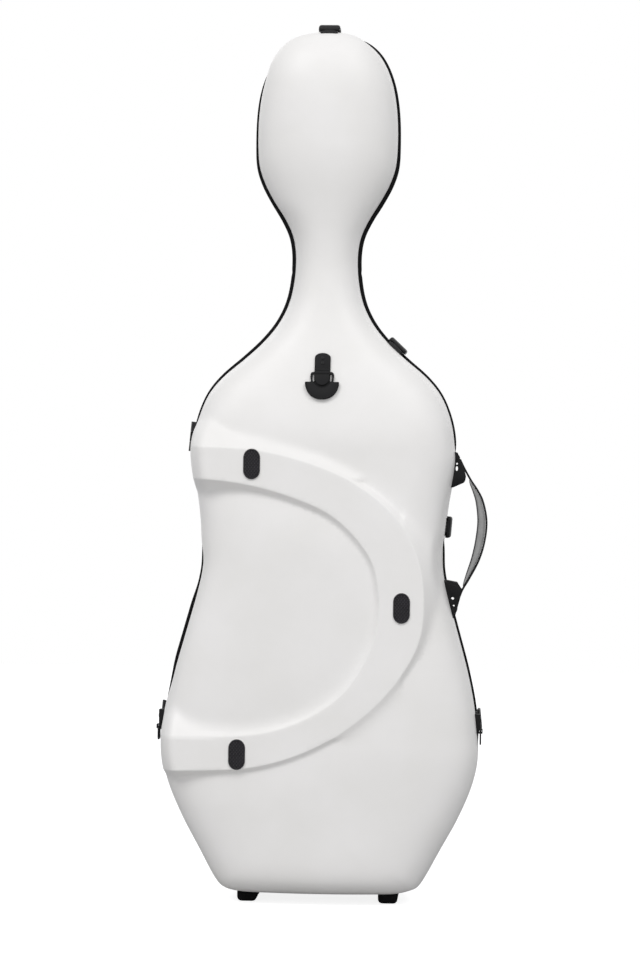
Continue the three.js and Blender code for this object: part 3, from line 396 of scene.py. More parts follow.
def outlinePoints(sizes):
    half = {key: sizes[key] / 2 for key in sizes if key.endswith("Width")}
    places = [(0, level["floorEnd"]), (half["endWidth"], level["end"]), (half["lowerBoutWidth"], level["lowerBout"]),
              (half["waistWidth"], level["waist"]), (half["upperBoutWidth"], level["upperBout"]),
              (half["neckWidth"], level["neck"]), (half["headWidth"], level["head"])]
    spans = [sizes[key] for key in sizes if key.endswith("Shares") and key != "crownShares"]
    right = []
    for (x0, z0), (x1, z1), shares in zip(places, places[1:], spans):
        right += [(x0 + (x1 - x0) * across, z0 + (z1 - z0) * along) for along, across in shares]
        right.append((x1, z1))
    power = sizes["crownPower"]
    for along in sizes["crownShares"]:
        right.append((half["headWidth"] * (1 - along ** power) ** (1 / power),
                      level["head"] + sizes["crownLength"] * along))
    left = [(-x, z) for x, z in reversed(right)]
    return np.array([places[0], *right, (0, level["top"]), *left], float)


def throughPoints(points, steps, closed=True):
    # centripetal Catmull-Rom curve
    points = np.asarray(points, float)
    if not closed:
        points = np.vstack([2 * points[0] - points[1], points, 2 * points[-1] - points[-2]])
    p0, p1, p2, p3 = (np.roll(points, shift, axis=0) for shift in (1, 0, -1, -2))
    if not closed:
        p0, p1, p2, p3 = (p[1:-2] for p in (p0, p1, p2, p3))
    d0, d1, d2 = (np.maximum(np.linalg.norm(b - a, axis=1)[:, None], 1e-6) ** 0.5
                  for a, b in ((p0, p1), (p1, p2), (p2, p3)))
    t1 = ((p1 - p0) / d0 - (p2 - p0) / (d0 + d1) + (p2 - p1) / d1) * d1
    t2 = ((p2 - p1) / d1 - (p3 - p1) / (d1 + d2) + (p3 - p2) / d2) * d1
    found = [p1 + t1 * w + (-3 * p1 + 3 * p2 - 2 * t1 - t2) * w ** 2 + (2 * p1 - 2 * p2 + t1 + t2) * w ** 3
             for w in np.arange(steps) / steps]
    found = np.stack(found, axis=1).reshape(-1, points.shape[1])
    return found if closed else np.vstack([found, p2[-1:]])


def smoothLoop(values, rounds):
    for _ in range(rounds):
        values = (np.roll(values, 1, axis=0) + 2 * values + np.roll(values, -1, axis=0)) / 4
    return values


def smoothStep(value, start, end):
    share = np.clip((np.asarray(value, float) - start) / (end - start), 0, 1)
    return share * share * (3 - 2 * share)


def faded(value, rise, fall):
    return smoothStep(value, *rise) * smoothStep(value, *fall)


outline = smoothLoop(throughPoints(outlinePoints(outlineSizes), outlineSizes["steps"]), 4)
tangents = np.roll(outline, -1, axis=0) - np.roll(outline, 1, axis=0)
tangents /= np.linalg.norm(tangents, axis=1)[:, None]
outward = np.stack([tangents[:, 1], -tangents[:, 0]], axis=1)
outlineX, outlineZ = outline[:, 0], outline[:, 1]


def loopAt(into, y):
    # the case's outline moved inwards, at one distance from the seam
    return np.stack([outlineX - outward[:, 0] * into, np.full(len(outline), y), outlineZ - outward[:, 1] * into],
                    axis=1)


sectionSettings = {
    "backDepths": (124, 118, 54, 76), "lidDepths": (156, 148, 66, 86), "spineEnd": 0.58, "spineCrown": 0.12,
    "endFall": 6.0, "endDraft": 4.5, "endPower": 5.6, "bodyPower": 4.6, "neckPower": 2.4, "rimProud": 3.0,
    "rimDepth": 4.0, "wall": 4.5, "tuck": 3.5, "swellDepth": 42, "showing": 2.0, "showingDepth": 25, "draft": 4.0,
    "draftDepth": 100, "neckDraft": 0.8, "crownDepth": 15, "crownProud": 1.3, "neckShowing": 1.4, "rings": 72,
    "innerRings": 14, "gather": 1.9,
    # where each change of the section starts and is complete: heights, but for the first and for the facing
    "crownRight": (85, 30), "crownLeft": (1225, 1315), "crownFloor": 1200, "waist": ((545, 570), (706, 680)),
    "low": (262, 225), "lowFacing": (0.35, 0.8), "leftWaist": ((290, 345), (560, 520)),
    "leftNeck": ((705, 750), (1075, 1035)), "neckSeal": ((760, 860), (1180, 1100)), "end": (230, 130),
}
rimLip = sectionSettings["rimDepth"] + seamGap


def blendAt(z, table):
    z = np.asarray(z, float)
    out = np.full(z.shape, float(table[-1][1]))
    for (z0, v0), (z1, v1) in reversed(list(zip(table, table[1:]))):
        out = np.where(z <= z1, v0 + (v1 - v0) * smoothStep(z, z0, z1), out)
    return out


def depthAt(z, depths):
    # the shells grow a little shallower from the lower bout to the feet
    low = np.clip((level["lowerBout"] - np.asarray(z, float)) / (level["lowerBout"] - level["floorEnd"]), 0, 1)
    table = list(zip((level["waist"], level["upperBout"], level["neck"], level["head"]), depths))
    return blendAt(z, table) - sectionSettings["endFall"] * low


def spineHeights():
    s, count = sectionSettings, len(outline)
    boutIndex = int(np.argmax(outlineZ[:count // 2] >= level["lowerBout"]))
    index = np.arange(count)
    alongEnd = np.minimum(index, count - index) / boutIndex
    low = level["lowerBout"] - (level["lowerBout"] - level["floorEnd"]) * s["spineEnd"] * (1 - alongEnd)
    high = level["head"] + (outlineZ - level["head"]) * s["spineCrown"]
    heights = np.where(outlineZ > level["head"], high, np.where(outlineZ >= level["lowerBout"], outlineZ, low))
    return smoothLoop(heights, 6)


def findZones(s):
    # the shell swells past the seam and hides it right of the waist, low on the right and at the very top
    crown = np.where(outlineX > 0, smoothStep(outlineX, *s["crownRight"]), smoothStep(outlineZ, *s["crownLeft"]))
    crown = smoothLoop(crown * (outlineZ > s["crownFloor"]), 6)
    waist = faded(outlineZ, *s["waist"]) * (outlineX > 0)
    low = smoothStep(outlineZ, *s["low"]) * smoothStep(outward[:, 0], *s["lowFacing"])
    # more of the seal shows at the left waist, and at the left shoulder and neck
    left = faded(outlineZ, *s["leftWaist"]) + s["neckDraft"] * faded(outlineZ, *s["leftNeck"])
    return crown, smoothLoop(np.maximum.reduce([waist, low, crown]), 6), (outlineX < 0) * left


spine = spineHeights()
sectionTable = [(level[place], sectionSettings[power]) for place, power in (
    ("lowerBout", "endPower"), ("upperBout", "bodyPower"), ("neck", "neckPower"))]
sectionPower = blendAt(spine, sectionTable)
crowned, hidden, leftDraft = findZones(sectionSettings)


def wallInset(depth, drafted):
    # how far inside the rim's line the shell's wall stands, at each depth from the seam
    s = sectionSettings
    showing = (s["rimProud"] + s["showing"] * np.maximum(0.0, 1 - depth / s["showingDepth"]) ** 2
               + s["neckShowing"] * faded(outlineZ, *s["neckSeal"]))
    reach = np.minimum(1.0, depth / s["draftDepth"])
    if drafted:
        showing = showing + s["draft"] * np.sin(math.pi * reach) * leftDraft
    share = smoothStep(depth / (s["swellDepth"] + (s["crownDepth"] - s["swellDepth"]) * crowned), 0, 1)
    swollen = (s["rimProud"] + s["tuck"]) * (1 - share) - s["crownProud"] * crowned * share
    end = s["endDraft"] * smoothStep(outlineZ, *s["end"]) * reach
    return showing * (1 - hidden) + swollen * hidden + end


def domeRows(side, depths, count, less=0.0, inset=None):
    # loops of a domed shell from its lip to the spine, closer together at both ends
    shares, gather = np.linspace(0, 1, count + 1), sectionSettings["gather"]
    angles = (math.pi / 2) * shares ** gather / (shares ** gather + (1 - shares) ** gather)
    full = depthAt(outlineZ, depths)
    rows = []
    for angle in angles:
        q = np.sin(angle) ** (2 / sectionPower)
        # exactly 1 at the spine, so that its two sides meet and merge
        t = 1 - (np.cos(angle) ** (2 / sectionPower) if angle < angles[-1] else 0 * sectionPower)
        into = wallInset((full - rimLip) * q, side < 0) if inset is None else inset
        z = (outlineZ - outward[:, 1] * into) * (1 - t) + spine * t
        x = (outlineX - outward[:, 0] * into) * (1 - t)
        rows.append(np.stack([x, side * (rimLip + (depthAt(z, depths) - less - rimLip) * q), z], axis=1))
    return rows


# back shell with its raised band, and the lid
bandSettings = {
    "depth": 128, "innerFall": (0.5, 1.3), "outerFall": (1.7, 0.7), "foot": 4.0, "edge": 1.2, "wallRise": 28,
    "wallPower": 5.5, "wallProud": 1.6, "wallFull": 8.0, "topSoft": 5.0, "near": 60, "outerCuts": (4.0, 8.0),
    "sink": 1.5, "sinkDepths": (95, 112), "top": 693, "bottom": 205, "left": -182, "right": 159, "topArm": 47,
    "bottomArm": 51, "sideArm": 67, "runOut": -489, "steps": 7,
    "outer": ((0.18, 1), (0.32, 0.972), (0.51, 0.9), (0.685, 0.792), (0.842, 0.629), (0.935, 0.45),
              (0.987, 0.25), (1, 0.04), (0.986, -0.16), (0.93, -0.34), (0.783, -0.594), (0.56, -0.824),
              (0.292, -0.965), (0.01, -1)),
    "inner": ((0.18, -0.994), (0.408, -0.952), (0.619, -0.84), (0.794, -0.666), (0.898, -0.469),
              (0.975, -0.223), (1, 0), (0.99, 0.18), (0.955, 0.37), (0.852, 0.576), (0.71, 0.744),
              (0.515, 0.863), (0.284, 0.952), (0.01, 1)),
}
innerTop, innerBottom = (bandSettings["top"] - bandSettings["topArm"],
                         bandSettings["bottom"] + bandSettings["bottomArm"])


def bandSide(shares, right, start, end):
    # one edge of the band, which runs out past the case's left side at both ends
    s, low, high = bandSettings, min(start, end), max(start, end)
    bend = [(s["left"] + (right - s["left"]) * across, low + (high - low) * (up + 1) / 2) for across, up in shares]
    return throughPoints([(s["runOut"], start), *bend, (s["runOut"], end)], s["steps"], False)


def signedDistance(points, loop):
    # how far each point lies outside a closed loop, less than nothing inside it
    nearest = np.full(len(points), 1e9)
    inside = np.zeros(len(points), bool)
    for (ax, az), (bx, bz) in zip(loop, np.roll(loop, -1, axis=0)):
        dx, dz = bx - ax, bz - az
        length = dx * dx + dz * dz
        if length < 1e-9:
            continue
        px, pz = points[:, 0] - ax, points[:, 1] - az
        w = np.clip((px * dx + pz * dz) / length, 0, 1)
        nearest = np.minimum(nearest, np.hypot(px - w * dx, pz - w * dz))
        if dz:
            inside ^= ((az > points[:, 1]) != (bz > points[:, 1])) & (points[:, 0] < dx * (points[:, 1] - az) / dz + ax)
    return np.where(inside, -nearest, nearest)


def softMax(a, b, reach):
    share = np.clip(0.5 + 0.5 * (a - b) / reach, 0, 1)
    return b + (a - b) * share + reach * share * (1 - share)


def cutAlong(bm, layers, heights):
    # splits the edges where the distance passes each height, and joins the new corners
    distance, tooFar, tooNear = layers[0], bandSettings["near"], 0.04
    for height in heights:
        fresh = []
        for edge in list(bm.edges):
            a, b = edge.verts
            va, vb = a[distance] - height, b[distance] - height
            if va * vb < 0 and abs(va) < tooFar and abs(vb) < tooFar:
                share = va / (va - vb)
                if tooNear < share < 1 - tooNear:
                    values = [a[layer] * (1 - share) + b[layer] * share for layer in layers]
                    _, corner = bmesh.utils.edge_split(edge, a, share)
                    for layer, value in zip(layers, values):
                        corner[layer] = value
                    fresh.append(corner)
                else:
                    fresh.append(a if share < 0.5 else b)
        bmesh.ops.connect_verts(bm, verts=list(dict.fromkeys(fresh)))


def raiseBand(bm):
    s = bandSettings
    layers = [bm.verts.layers.float.new(name) for name in ("bandDistance", "bandDepth", "bandWall")]
    distance, top, wall = layers
    co = np.array([v.co for v in bm.verts])
    full = depthAt(co[:, 2], sectionSettings["backDepths"])
    q = np.clip((-co[:, 1] - rimLip) / (full - rimLip), 0, 1)
    power, wallPower = blendAt(co[:, 2], sectionTable), s["wallPower"]
    t = 1 - (1 - q ** power) ** (1 / power)
    reach = rimLip + (full + s["wallRise"] - rimLip) * (1 - (1 - t) ** wallPower) ** (1 / wallPower)
    tops = -softMax(-reach, np.full_like(reach, -s["depth"]), s["topSoft"])
    edges = np.vstack([bandSide(s["outer"], s["right"], s["top"], s["bottom"]),
                       bandSide(s["inner"], s["right"] - s["sideArm"], innerBottom, innerTop)])
    distances = signedDistance(co[:, [0, 2]], edges)
    for vert, d, depth, share in zip(bm.verts, distances, tops, (1 - q) * np.clip(q * 4, 0, 1)):
        vert[distance], vert[top], vert[wall] = d, depth, share
    edge = s["edge"]
    cutAlong(bm, layers, (-edge, 0.0, edge, *s["outerCuts"]))
    for vert in bm.verts:
        d = vert[distance]
        if d > s["near"]:
            continue
        inner = innerBottom < vert.co.z < innerTop and vert.co.x < s["right"] - s["sideArm"] / 2
        low, high = s["innerFall" if inner else "outerFall"]
        fall = low + (high - low) * float(smoothStep(vert.co.z, innerBottom, innerTop))
        drop = fall * (0 if d <= -edge else (d + edge) ** 2 / (4 * edge) if d < edge else d)
        depth = -vert.co.y
        sunk = depth - s["sink"] * float(smoothStep(depth, *s["sinkDepths"])) * float(smoothStep(-d, -s["near"], 0))
        raised = float(softMax(np.array(vert[top] - drop), np.array(sunk), s["foot"]))
        vert.co.x -= s["wallProud"] * min(1.0, max(0.0, (raised - depth) / s["wallFull"])) * vert[wall]
        vert.co.y = -raised


def makeShell(name, node, side, depths, body):
    s = sectionSettings
    outer = domeRows(side, depths, s["rings"])
    inner = domeRows(side, depths, s["innerRings"], s["wall"], s["rimProud"] + s["wall"])
    if body == "back":
        bm = loftRows(outer)
        raiseBand(bm)
        joinInto(bm, loftRows(inner))
        bmesh.ops.bridge_loops(bm, edges=[edge for edge in bm.edges if edge.is_boundary])
    else:
        bm = loftRows([*reversed(outer), *inner])
    addPiece(name, bm, lacquer, "shell_paint", body, node, smooth=48)


makeShell("backShell", "back_shell", -1, sectionSettings["backDepths"], "back")
makeShell("lidShell", "front_shell", 1, sectionSettings["lidDepths"], "lid")
print("shells made")


# rim seals: a rounded bead of rubber round each shell, with its butt joint at the neck
rimSettings = {"stout": 2.2, "stoutZone": ((320, 380), (490, 450)), "round": 1.1, "jog": 0.7, "jogZone": (964, 972)}


def makeRim(name, node, side, body):
    s, r = sectionSettings, rimSettings
    inner, soft = s["rimProud"] + s["wall"], r["round"]
    corner = [(soft - soft * math.sin(a), soft - soft * math.cos(a)) for a in (0.0, 0.4, 0.8, 1.2, math.pi / 2)]
    profile = [(inner, seamGap), (inner * 0.6, seamGap)] + [(x, seamGap + y) for x, y in corner]
    profile += [(x, rimLip - y) for x, y in reversed(corner)] + [(inner * 0.6, rimLip), (inner, rimLip)]
    jog = r["jog"] * ((outlineZ > r["jogZone"][0]) & (outlineZ < r["jogZone"][1]))
    tuck = s["tuck"] * hidden + jog - r["stout"] * (outlineX < 0) * faded(outlineZ, *r["stoutZone"])
    rows = [loopAt(inset + tuck * (1 - inset / inner), side * y) for inset, y in profile]
    addPiece(name, loftRows(rows, ring=True), rubber, "rubber", body, node, smooth=60)


makeRim("backRim", "back_rim", -1, "back")
makeRim("lidRim", "front_rim", 1, "lid")
print("rims made")


# plush linings, thick and soft, with a bound edge along the seam
liningSettings = {"gap": 0.3, "thick": 9.0, "binding": 1.7, "bindingIn": 1.2, "bindingUp": 0.6, "bindingSides": 12,
                  "rings": 36, "outerRings": 20}


def makeLining(name, node, side, depths, body):
    s, thick = liningSettings, liningSettings["thick"]
    less = sectionSettings["wall"] + s["gap"]
    inset = sectionSettings["rimProud"] + less
    outer = domeRows(side, depths, s["outerRings"], less, inset)
    inner = domeRows(side, depths, s["rings"], less + thick, inset + thick)
    lining = addPiece(name, loftRows([*reversed(outer), *inner]), plush, "plush", body, node, smooth=60)
    # the binding is a folded tape, drawn as a thin roll along the lining's edge
    rows = [loopAt(inset + thick - s["bindingIn"] + x, side * (rimLip + s["bindingUp"] + y))
            for x, y in circle(s["binding"], s["bindingSides"])]
    addPiece(name + "Binding", loftRows(rows, ring=True), webbing, "webbing", body, smooth=80)


makeLining("backLining", "back_liner", -1, sectionSettings["backDepths"], "back")
makeLining("lidLining", "front_liner", 1, sectionSettings["lidDepths"], "lid")
print("linings made")


# rest pads: a rubber frame round a knurled face, each seated in a lip on the band
padSettings = {"width": 24.8, "length": 45.4, "proud": 3.0, "frame": 2.2, "pitch": 4.6, "slant": 0.8, "knurl": 1.2,
               "flat": 1.6, "cell": 0.5, "lip": 1.5, "lipRise": 0.7, "lipGap": 0.3, "seat": 0.9, "steps": 14}


def makePad(name):
    s, band = padSettings, -bandSettings["depth"]
    low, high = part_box("rest_pad_" + name)
    matrix = placed((low.x + high.x) / 2, seamY, (low.z + high.z) / 2)
    face, seat, wide = band - s["proud"], band + s["seat"], s["frame"]

    def ring(inset, y):
        x, z = s["width"] / 2 - inset, s["length"] / 2 - inset
        return [(a, y, b) for a, b in roundedBox(-x, x, -z, z, x * 0.98, x * 1.05, s["steps"])]

    bm = loftRows([ring(inset, y) for inset, y in (
        (0, seat), (0, face + 1.2), (0.35, face + 0.35), (wide * 0.45, face), (wide * 0.8, face + 0.25),
        (wide, face + 1.1), (wide + 0.3, seat), (wide, seat))], ring=True)
    # the knurled face is a grid cut to the frame's inner edge, its peaks in a diamond pattern
    reachX, reachZ = s["width"] / 2 - wide + 0.2, s["length"] / 2 - wide + 0.2
    tread = bmesh.new()
    bmesh.ops.create_grid(tread, x_segments=int(2 * reachX / s["cell"]), y_segments=int(2 * reachZ / s["cell"]),
                          size=1)
    spare = []
    for vert in tread.verts:
        x, z = vert.co.x * reachX, vert.co.y * reachZ
        if math.hypot(x, max(0.0, abs(z) - reachZ + reachX)) > reachX * 1.01:
            spare.append(vert)
        u, v = (x + z * s["slant"]) / s["pitch"], (x - z * s["slant"]) / s["pitch"]
        peak = 1 - max(abs(u - round(u)), abs(v - round(v))) * 2
        vert.co = (x, face + 0.1 + s["knurl"] * (1 - min(1.0, peak * s["flat"])), z)
    bmesh.ops.delete(tread, geom=spare, context="VERTS")
    made = bmesh.ops.extrude_face_region(tread, geom=list(tread.faces))
    for vert in (g for g in made["geom"] if isinstance(g, bmesh.types.BMVert)):
        vert.co.y = seat
    bmesh.ops.recalc_face_normals(tread, faces=tread.faces)
    joinInto(bm, tread)
    addPiece("restPad" + name.title(), bm, padRubber, "rubber", "back", "rest_pad_" + name, smooth=50, matrix=matrix)
    # the lip is part of the moulding: a low rounded bead of lacquered shell round the seat
    lip, rise, gap = s["lip"], s["lipRise"], s["lipGap"]
    lipRows = [ring(-gap - lip * out, band + y) for out, y in (
        (0, 0.6), (0, -rise * 0.7), (0.3, -rise), (0.7, -rise * 0.7), (1, 0.05), (1, 0.6))]
    addPiece("padLip" + name.title(), loftRows(lipRows, ring=True), lacquer, "shell_paint", "back", smooth=70,
             matrix=matrix)


for padName in ("top", "side", "bottom"):
    makePad(padName)
print("rest pads made")


# latches: a base with a knuckle on the back shell, a lever over the seam and a keeper on the lid
latchSettings = {
    "width": 33.0, "pivotOut": 4.4, "pivotBack": 15.0, "knuckle": 3.6, "knuckleWidth": 14.0, "pin": 1.24,
    "corner": 4.0, "front": 19.0, "out": 12.0, "dip": 10.6, "plate": 3.0, "hookFront": 15.2, "hookThick": 2.8,
    "hookReach": 2.6, "sink": 9.0, "baseOut": 0.4, "baseBack": 28.0, "baseWidth": 27.0, "screwAcross": 8.0,
    "baseScrew": -23.8, "keeperScrew": 20.5, "ridgeOut": 5.6, "ridgeStart": 8.7, "ridgeEnd": 12.1,
    "keeperFront": 27.0, "keeperWidth": 26.0, "cornerSteps": (0, 0.12, 0.4, 0.9, 1.6, 2.5, 4.0),
    "heights": {"top": 12.0, "shoulder": 8.2, "waist": 8.8, "lower": 5.2},
}


def curveOf(start, handle, end, steps):
    start, handle, end = (np.array(p, float) for p in (start, handle, end))
    w = np.linspace(0, 1, steps + 1)[:, None]
    return (1 - w) ** 2 * start + 2 * w * (1 - w) * handle + w ** 2 * end


def latchFrame(name):
    joint = joints[f"latch_{name}_turn"]
    along, pivot = Vector(joint["axis"]).normalized(), Vector(joint["pos_m"])
    out = Vector((0, 1, 0)).cross(along)
    spot = (np.array([pivot.x - centreX, pivot.z]) / millimetre)[None]
    nearest = outward[int(np.argmin(np.linalg.norm(outline - spot, axis=1)))]
    if out.x * nearest[0] + out.z * nearest[1] < 0:
        out, along = -out, -along
    back = Vector((0, latchSettings["pivotBack"] * millimetre, 0))
    return localFrame(pivot - out * latchSettings["pivotOut"] * millimetre + back, out, along)


def leverProfile():
    # the lever cut along its middle: a slanted back, a dished top, a hook in front and a boss round the pin
    s = latchSettings
    back, lip, radius = -s["pivotBack"], s["dip"] - s["plate"], s["knuckle"] + 0.4
    out, dip, front, hook, reach = s["out"], s["dip"], s["front"], s["hookFront"], s["hookReach"]
    thick, heel = hook - s["hookThick"], back - radius
    return np.vstack([
        [(5.6, heel), (7.0, heel + 0.2)],
        curveOf((8.0, heel + 1.0), (10.4, back - 1.0), (out - 0.4, back + 3.2), 8),
        curveOf((out - 0.4, back + 3.2), (dip, back / 2 + 1.6), (dip, 0), 10)[1:],
        curveOf((dip, 0), (dip, thick), (out, front - 0.7), 10)[1:],
        curveOf((out, front - 0.7), (out - 0.1, front), (out - 1.4, front - 0.2), 4)[1:],
        [(dip - 1.2, hook + 0.2), (dip - 1.9, hook), (reach + 0.5, hook), (reach, hook - 0.5), (reach, thick),
         (lip - 0.5, thick), (lip, thick - 0.5), (lip, 4), (lip, -4.2)],
        arc(s["pivotOut"], back, radius, radius, 90, 270, 16)])


def makeLever(height):
    s, profile = latchSettings, leverProfile()
    half, corner = s["width"] / 2, s["corner"]
    soft = min(corner, height * 0.45)
    low, high = profile[:, 1].min(), s["front"]
    ends = s["cornerSteps"]

    def rounding(z, radius):
        past = max(0.0, abs(z) - (half - radius)) / radius
        return radius * (1 - math.sqrt(max(0.0, 1 - past ** 2)))

    rows = []
    for z in [d - half for d in ends] + [-8, -4, 0, 4, 8] + [half - d for d in reversed(ends)]:
        y = np.clip(profile[:, 1], low + rounding(z, corner), high - rounding(z, corner))
        x = profile[:, 0] * (height - rounding(z, soft)) / s["out"]
        rows.append(np.stack([x, y, np.full(len(y), z)], axis=1))
    return loftRows(rows, capped=True)


def makeLatch(name):
    s = latchSettings
    matrix, title, height = latchFrame(name), name.title(), s["heights"][name]
    low = height / s["out"]
    near, sink, out, radius, back = rimLip + 0.3, -s["sink"], s["baseOut"], s["knuckle"], -s["pivotBack"]
    half, wide, knuckleHalf = s["baseWidth"] / 2, s["keeperWidth"] / 2, s["knuckleWidth"] / 2
    base = cutPlate(roundedBox(-s["baseBack"], -near, -half, half, 3.0), sink, out, bevel=0.5, flat="YZ")
    knuckle = [*arc(s["pivotOut"] * low, back, radius * low, radius, -90, 90, 19), (-0.3, back + radius + 1.2),
               (-0.3, back - radius - 1.2)]
    joinInto(base, cutPlate(knuckle, -knuckleHalf, knuckleHalf, bevel=0.35, flat="XY"))
    keeper = cutPlate(roundedBox(near, s["keeperFront"], -wide, wide, 3.0), sink, out, bevel=0.5, flat="YZ")
    ridgeOut, start, end = s["ridgeOut"] * low, s["ridgeStart"], s["ridgeEnd"]
    ridge = [(-0.3, near + 0.1), (out, near + 0.1), (ridgeOut - 0.6, start - 0.5), (ridgeOut, start + 0.3),
             (ridgeOut, end - 0.5), (ridgeOut - 0.5, end), (-0.3, end)]
    joinInto(keeper, cutPlate(ridge, -wide + 0.8, wide - 0.8, bevel=0.3, flat="XY"))
    for z in (-s["screwAcross"], s["screwAcross"]):
        addScrew(base, (out + 0.35, s["baseScrew"], z), (1, 0, 0), 2.2, 1.1)
        addScrew(keeper, (out + 0.35, s["keeperScrew"], z), (1, 0, 0), 2.6, 1.2)
    addPiece("latchBase" + title, base, powderCoat, "hardware", "back", "latch_base_" + name, matrix=matrix)
    addPiece("latchKeeper" + title, keeper, powderCoat, "hardware", "lid", "latch_keeper_" + name, matrix=matrix)
    body = "latch_lever_" + name
    addPiece("latchLever" + title, makeLever(height), powderCoat, "hardware", body, body, smooth=38, matrix=matrix)
    reach, pinOut = s["width"] / 2 + 0.3, s["pivotOut"] * low
    pin = addRod(bmesh.new(), s["pin"] * low ** 0.5, (pinOut, back, -reach), (pinOut, back, reach), 20, 0.2)
    addPiece("latchPin" + title, pin, steel, "steel", body, smooth=40, matrix=matrix)


for latchName in latchSettings["heights"]:
    makeLatch(latchName)
print("latches made")


# hinges: two leaves and a pin each, on one line down the left side
hingeSettings = {"length": 46.0, "knuckle": 2.3, "pin": 1.2, "middle": 15.6, "gap": 0.3, "leafDepth": 23.0,
                 "plateIn": -12.0, "plateOut": -5.0, "corner": 5.0, "screwUp": 14.0, "screwOver": 15.5,
                 # the arm rolls from the plate over the rim into the knuckle
                 "arm": ((1.8, 1.4), (1.1, 4.2), (-0.8, 7.0), (-4.9, 9.2), (-6.6, 9.2), (-6.6, 4.7), (-2.9, 4.5),
                         (-2.7, 0.8), (0, 0))}


def hingeFrame(name):
    joint = joints["lid_hinge"]
    along, pos = Vector(joint["axis"]).normalized(), Vector(joint["pos_m"])
    low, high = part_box("hinge_pin_" + name)
    origin = pos + along * ((low.z + high.z) / 2 - pos.z) / along.z
    return localFrame(origin, Vector((-along.z, 0, along.x)), -along)


def makeHinge(name):
    s, matrix = hingeSettings, hingeFrame(name)
    half, middle = s["length"] / 2, s["middle"] / 2
    for leaf, side, spans in (("Back", -1, ((-half, -middle - s["gap"]), (middle + s["gap"], half))),
                              ("Lid", 1, ((-middle, middle),))):
        body = leaf.lower()
        plan = [(side * a, b) for a, b in roundedBox(rimLip + 0.3, s["leafDepth"], -half, half, s["corner"])]
        bm = cutPlate(plan, s["plateIn"], s["plateOut"], bevel=0.6, flat="YZ")
        for start, end in spans:
            addRod(bm, s["knuckle"], (0, 0, start), (0, 0, end), 32, 0.35)
            rows = [[(x, side * y, z) for x, y in s["arm"]] for z in (start + 0.2, end - 0.2)]
            joinInto(bm, loftRows(rows, capped=True))
        for z in (-s["screwUp"], s["screwUp"]):
            addScrew(bm, (s["plateOut"] + 0.35, side * s["screwOver"], z), (1, 0, 0), 2.7, 1.1)
        addPiece(f"hinge{leaf}Leaf{name.title()}", bm, powderCoat, "hardware", body, f"hinge_leaf_{body}_{name}",
                 smooth=40, matrix=matrix)
    pin = addRod(bmesh.new(), s["pin"], (0, 0, -half), (0, 0, half), 20, 0.2)
    addPiece("hingePin" + name.title(), pin, steel, "steel", "back", "hinge_pin_" + name, matrix=matrix)


for hingeName in ("upper", "lower"):
    makeHinge(hingeName)
print("hinges made")


# side handle: two moulded brackets, a webbing strap bowed between them and a padded grip inside it
handleSettings = {
    "near": -56.0, "far": -20.0, "strap": 3.0, "strapIn": 4.0, "grip": 13.0, "gripSpan": (-0.87, 0.7),
    # one of these sizes is the thickness of the dark strip of painted shade on the grip's inner face
    "gripEnd": 0.1, "roundFrom": 0.93, "steps": 56, "facing": 1.6, "stitch": 2.6, "stitchGap": 1.4, "thread": 0.3,
    "sink": 8.0, "chamfer": 5.0, "chamferFrom": (190, 492), "screwsY": (-47.5, -28.5),
    # each outline and place in millimetres from the centre line and the floor
    "brackets": {
        "upper": {"outline": ((202.8, 692.2), (206.1, 691.5), (216.8, 666.0), (219.3, 655.0), (218.2, 648.7),
                              (216.1, 645.4), (199.9, 638.0)),
                  "holes": ((205.4, 674.4, 1.5, 1.5), (205.2, 667.1, 1.9, 3.7)),
                  "screw": (208.7, 685.4), "way": (0.922, 0, 0.387)},
        "lower": {"outline": ((191.5, 496.1), (207.9, 493.1), (213.0, 485.1), (215.3, 482.0), (213.8, 472.1),
                              (206.4, 444.1), (201.7, 435.6)),
                  "holes": ((201.4, 468.0, 2.4, 2.4), (203.2, 457.0, 1.7, 1.7)),
                  "screw": (208.0, 450.4), "way": (0.967, 0, -0.256)}},
    "bow": ((213.9, 471.8), (217.5, 481.1), (226.5, 496.5), (242.3, 527.4), (250.9, 558.2), (253.1, 588.8),
            (246.5, 619.4), (238.8, 634.6), (228.5, 649.8), (217.3, 669.6), (211.4, 681.8)),
}
bowPath = throughPoints(handleSettings["bow"], 8, False)
bowLengths = np.concatenate([[0], np.cumsum(np.linalg.norm(np.diff(bowPath, axis=0), axis=1))])


def bowPoint(share):
    # a point of the strap's outer face, from -1 at its lower end to 1 at its upper end
    reach = (share + 1) / 2 * bowLengths[-1]
    return Vector((float(np.interp(reach, bowLengths, bowPath[:, 0])), 0,
                   float(np.interp(reach, bowLengths, bowPath[:, 1]))))


def bowNormal(share):
    way = (bowPoint(min(1, share + 0.02)) - bowPoint(max(-1, share - 0.02))).normalized()
    return Vector((way.z, 0, -way.x))


def bowLoft(section, span, sizeAt):
    # sizeAt gives the gap inside the strap's outer face, the thickness, and the near and far sides
    rows, steps = [], handleSettings["steps"]
    for step in range(steps + 1):
        share = span[0] + (span[1] - span[0]) * step / steps
        point, normal = bowPoint(share), bowNormal(share)
        start, deep, near, far = sizeAt(2 * step / steps - 1)
        rows.append([point - normal * (start + deep * inward) + Vector((0, near + (far - near) * across, 0))
                     for across, inward in section])
    return loftRows(rows, capped=True)


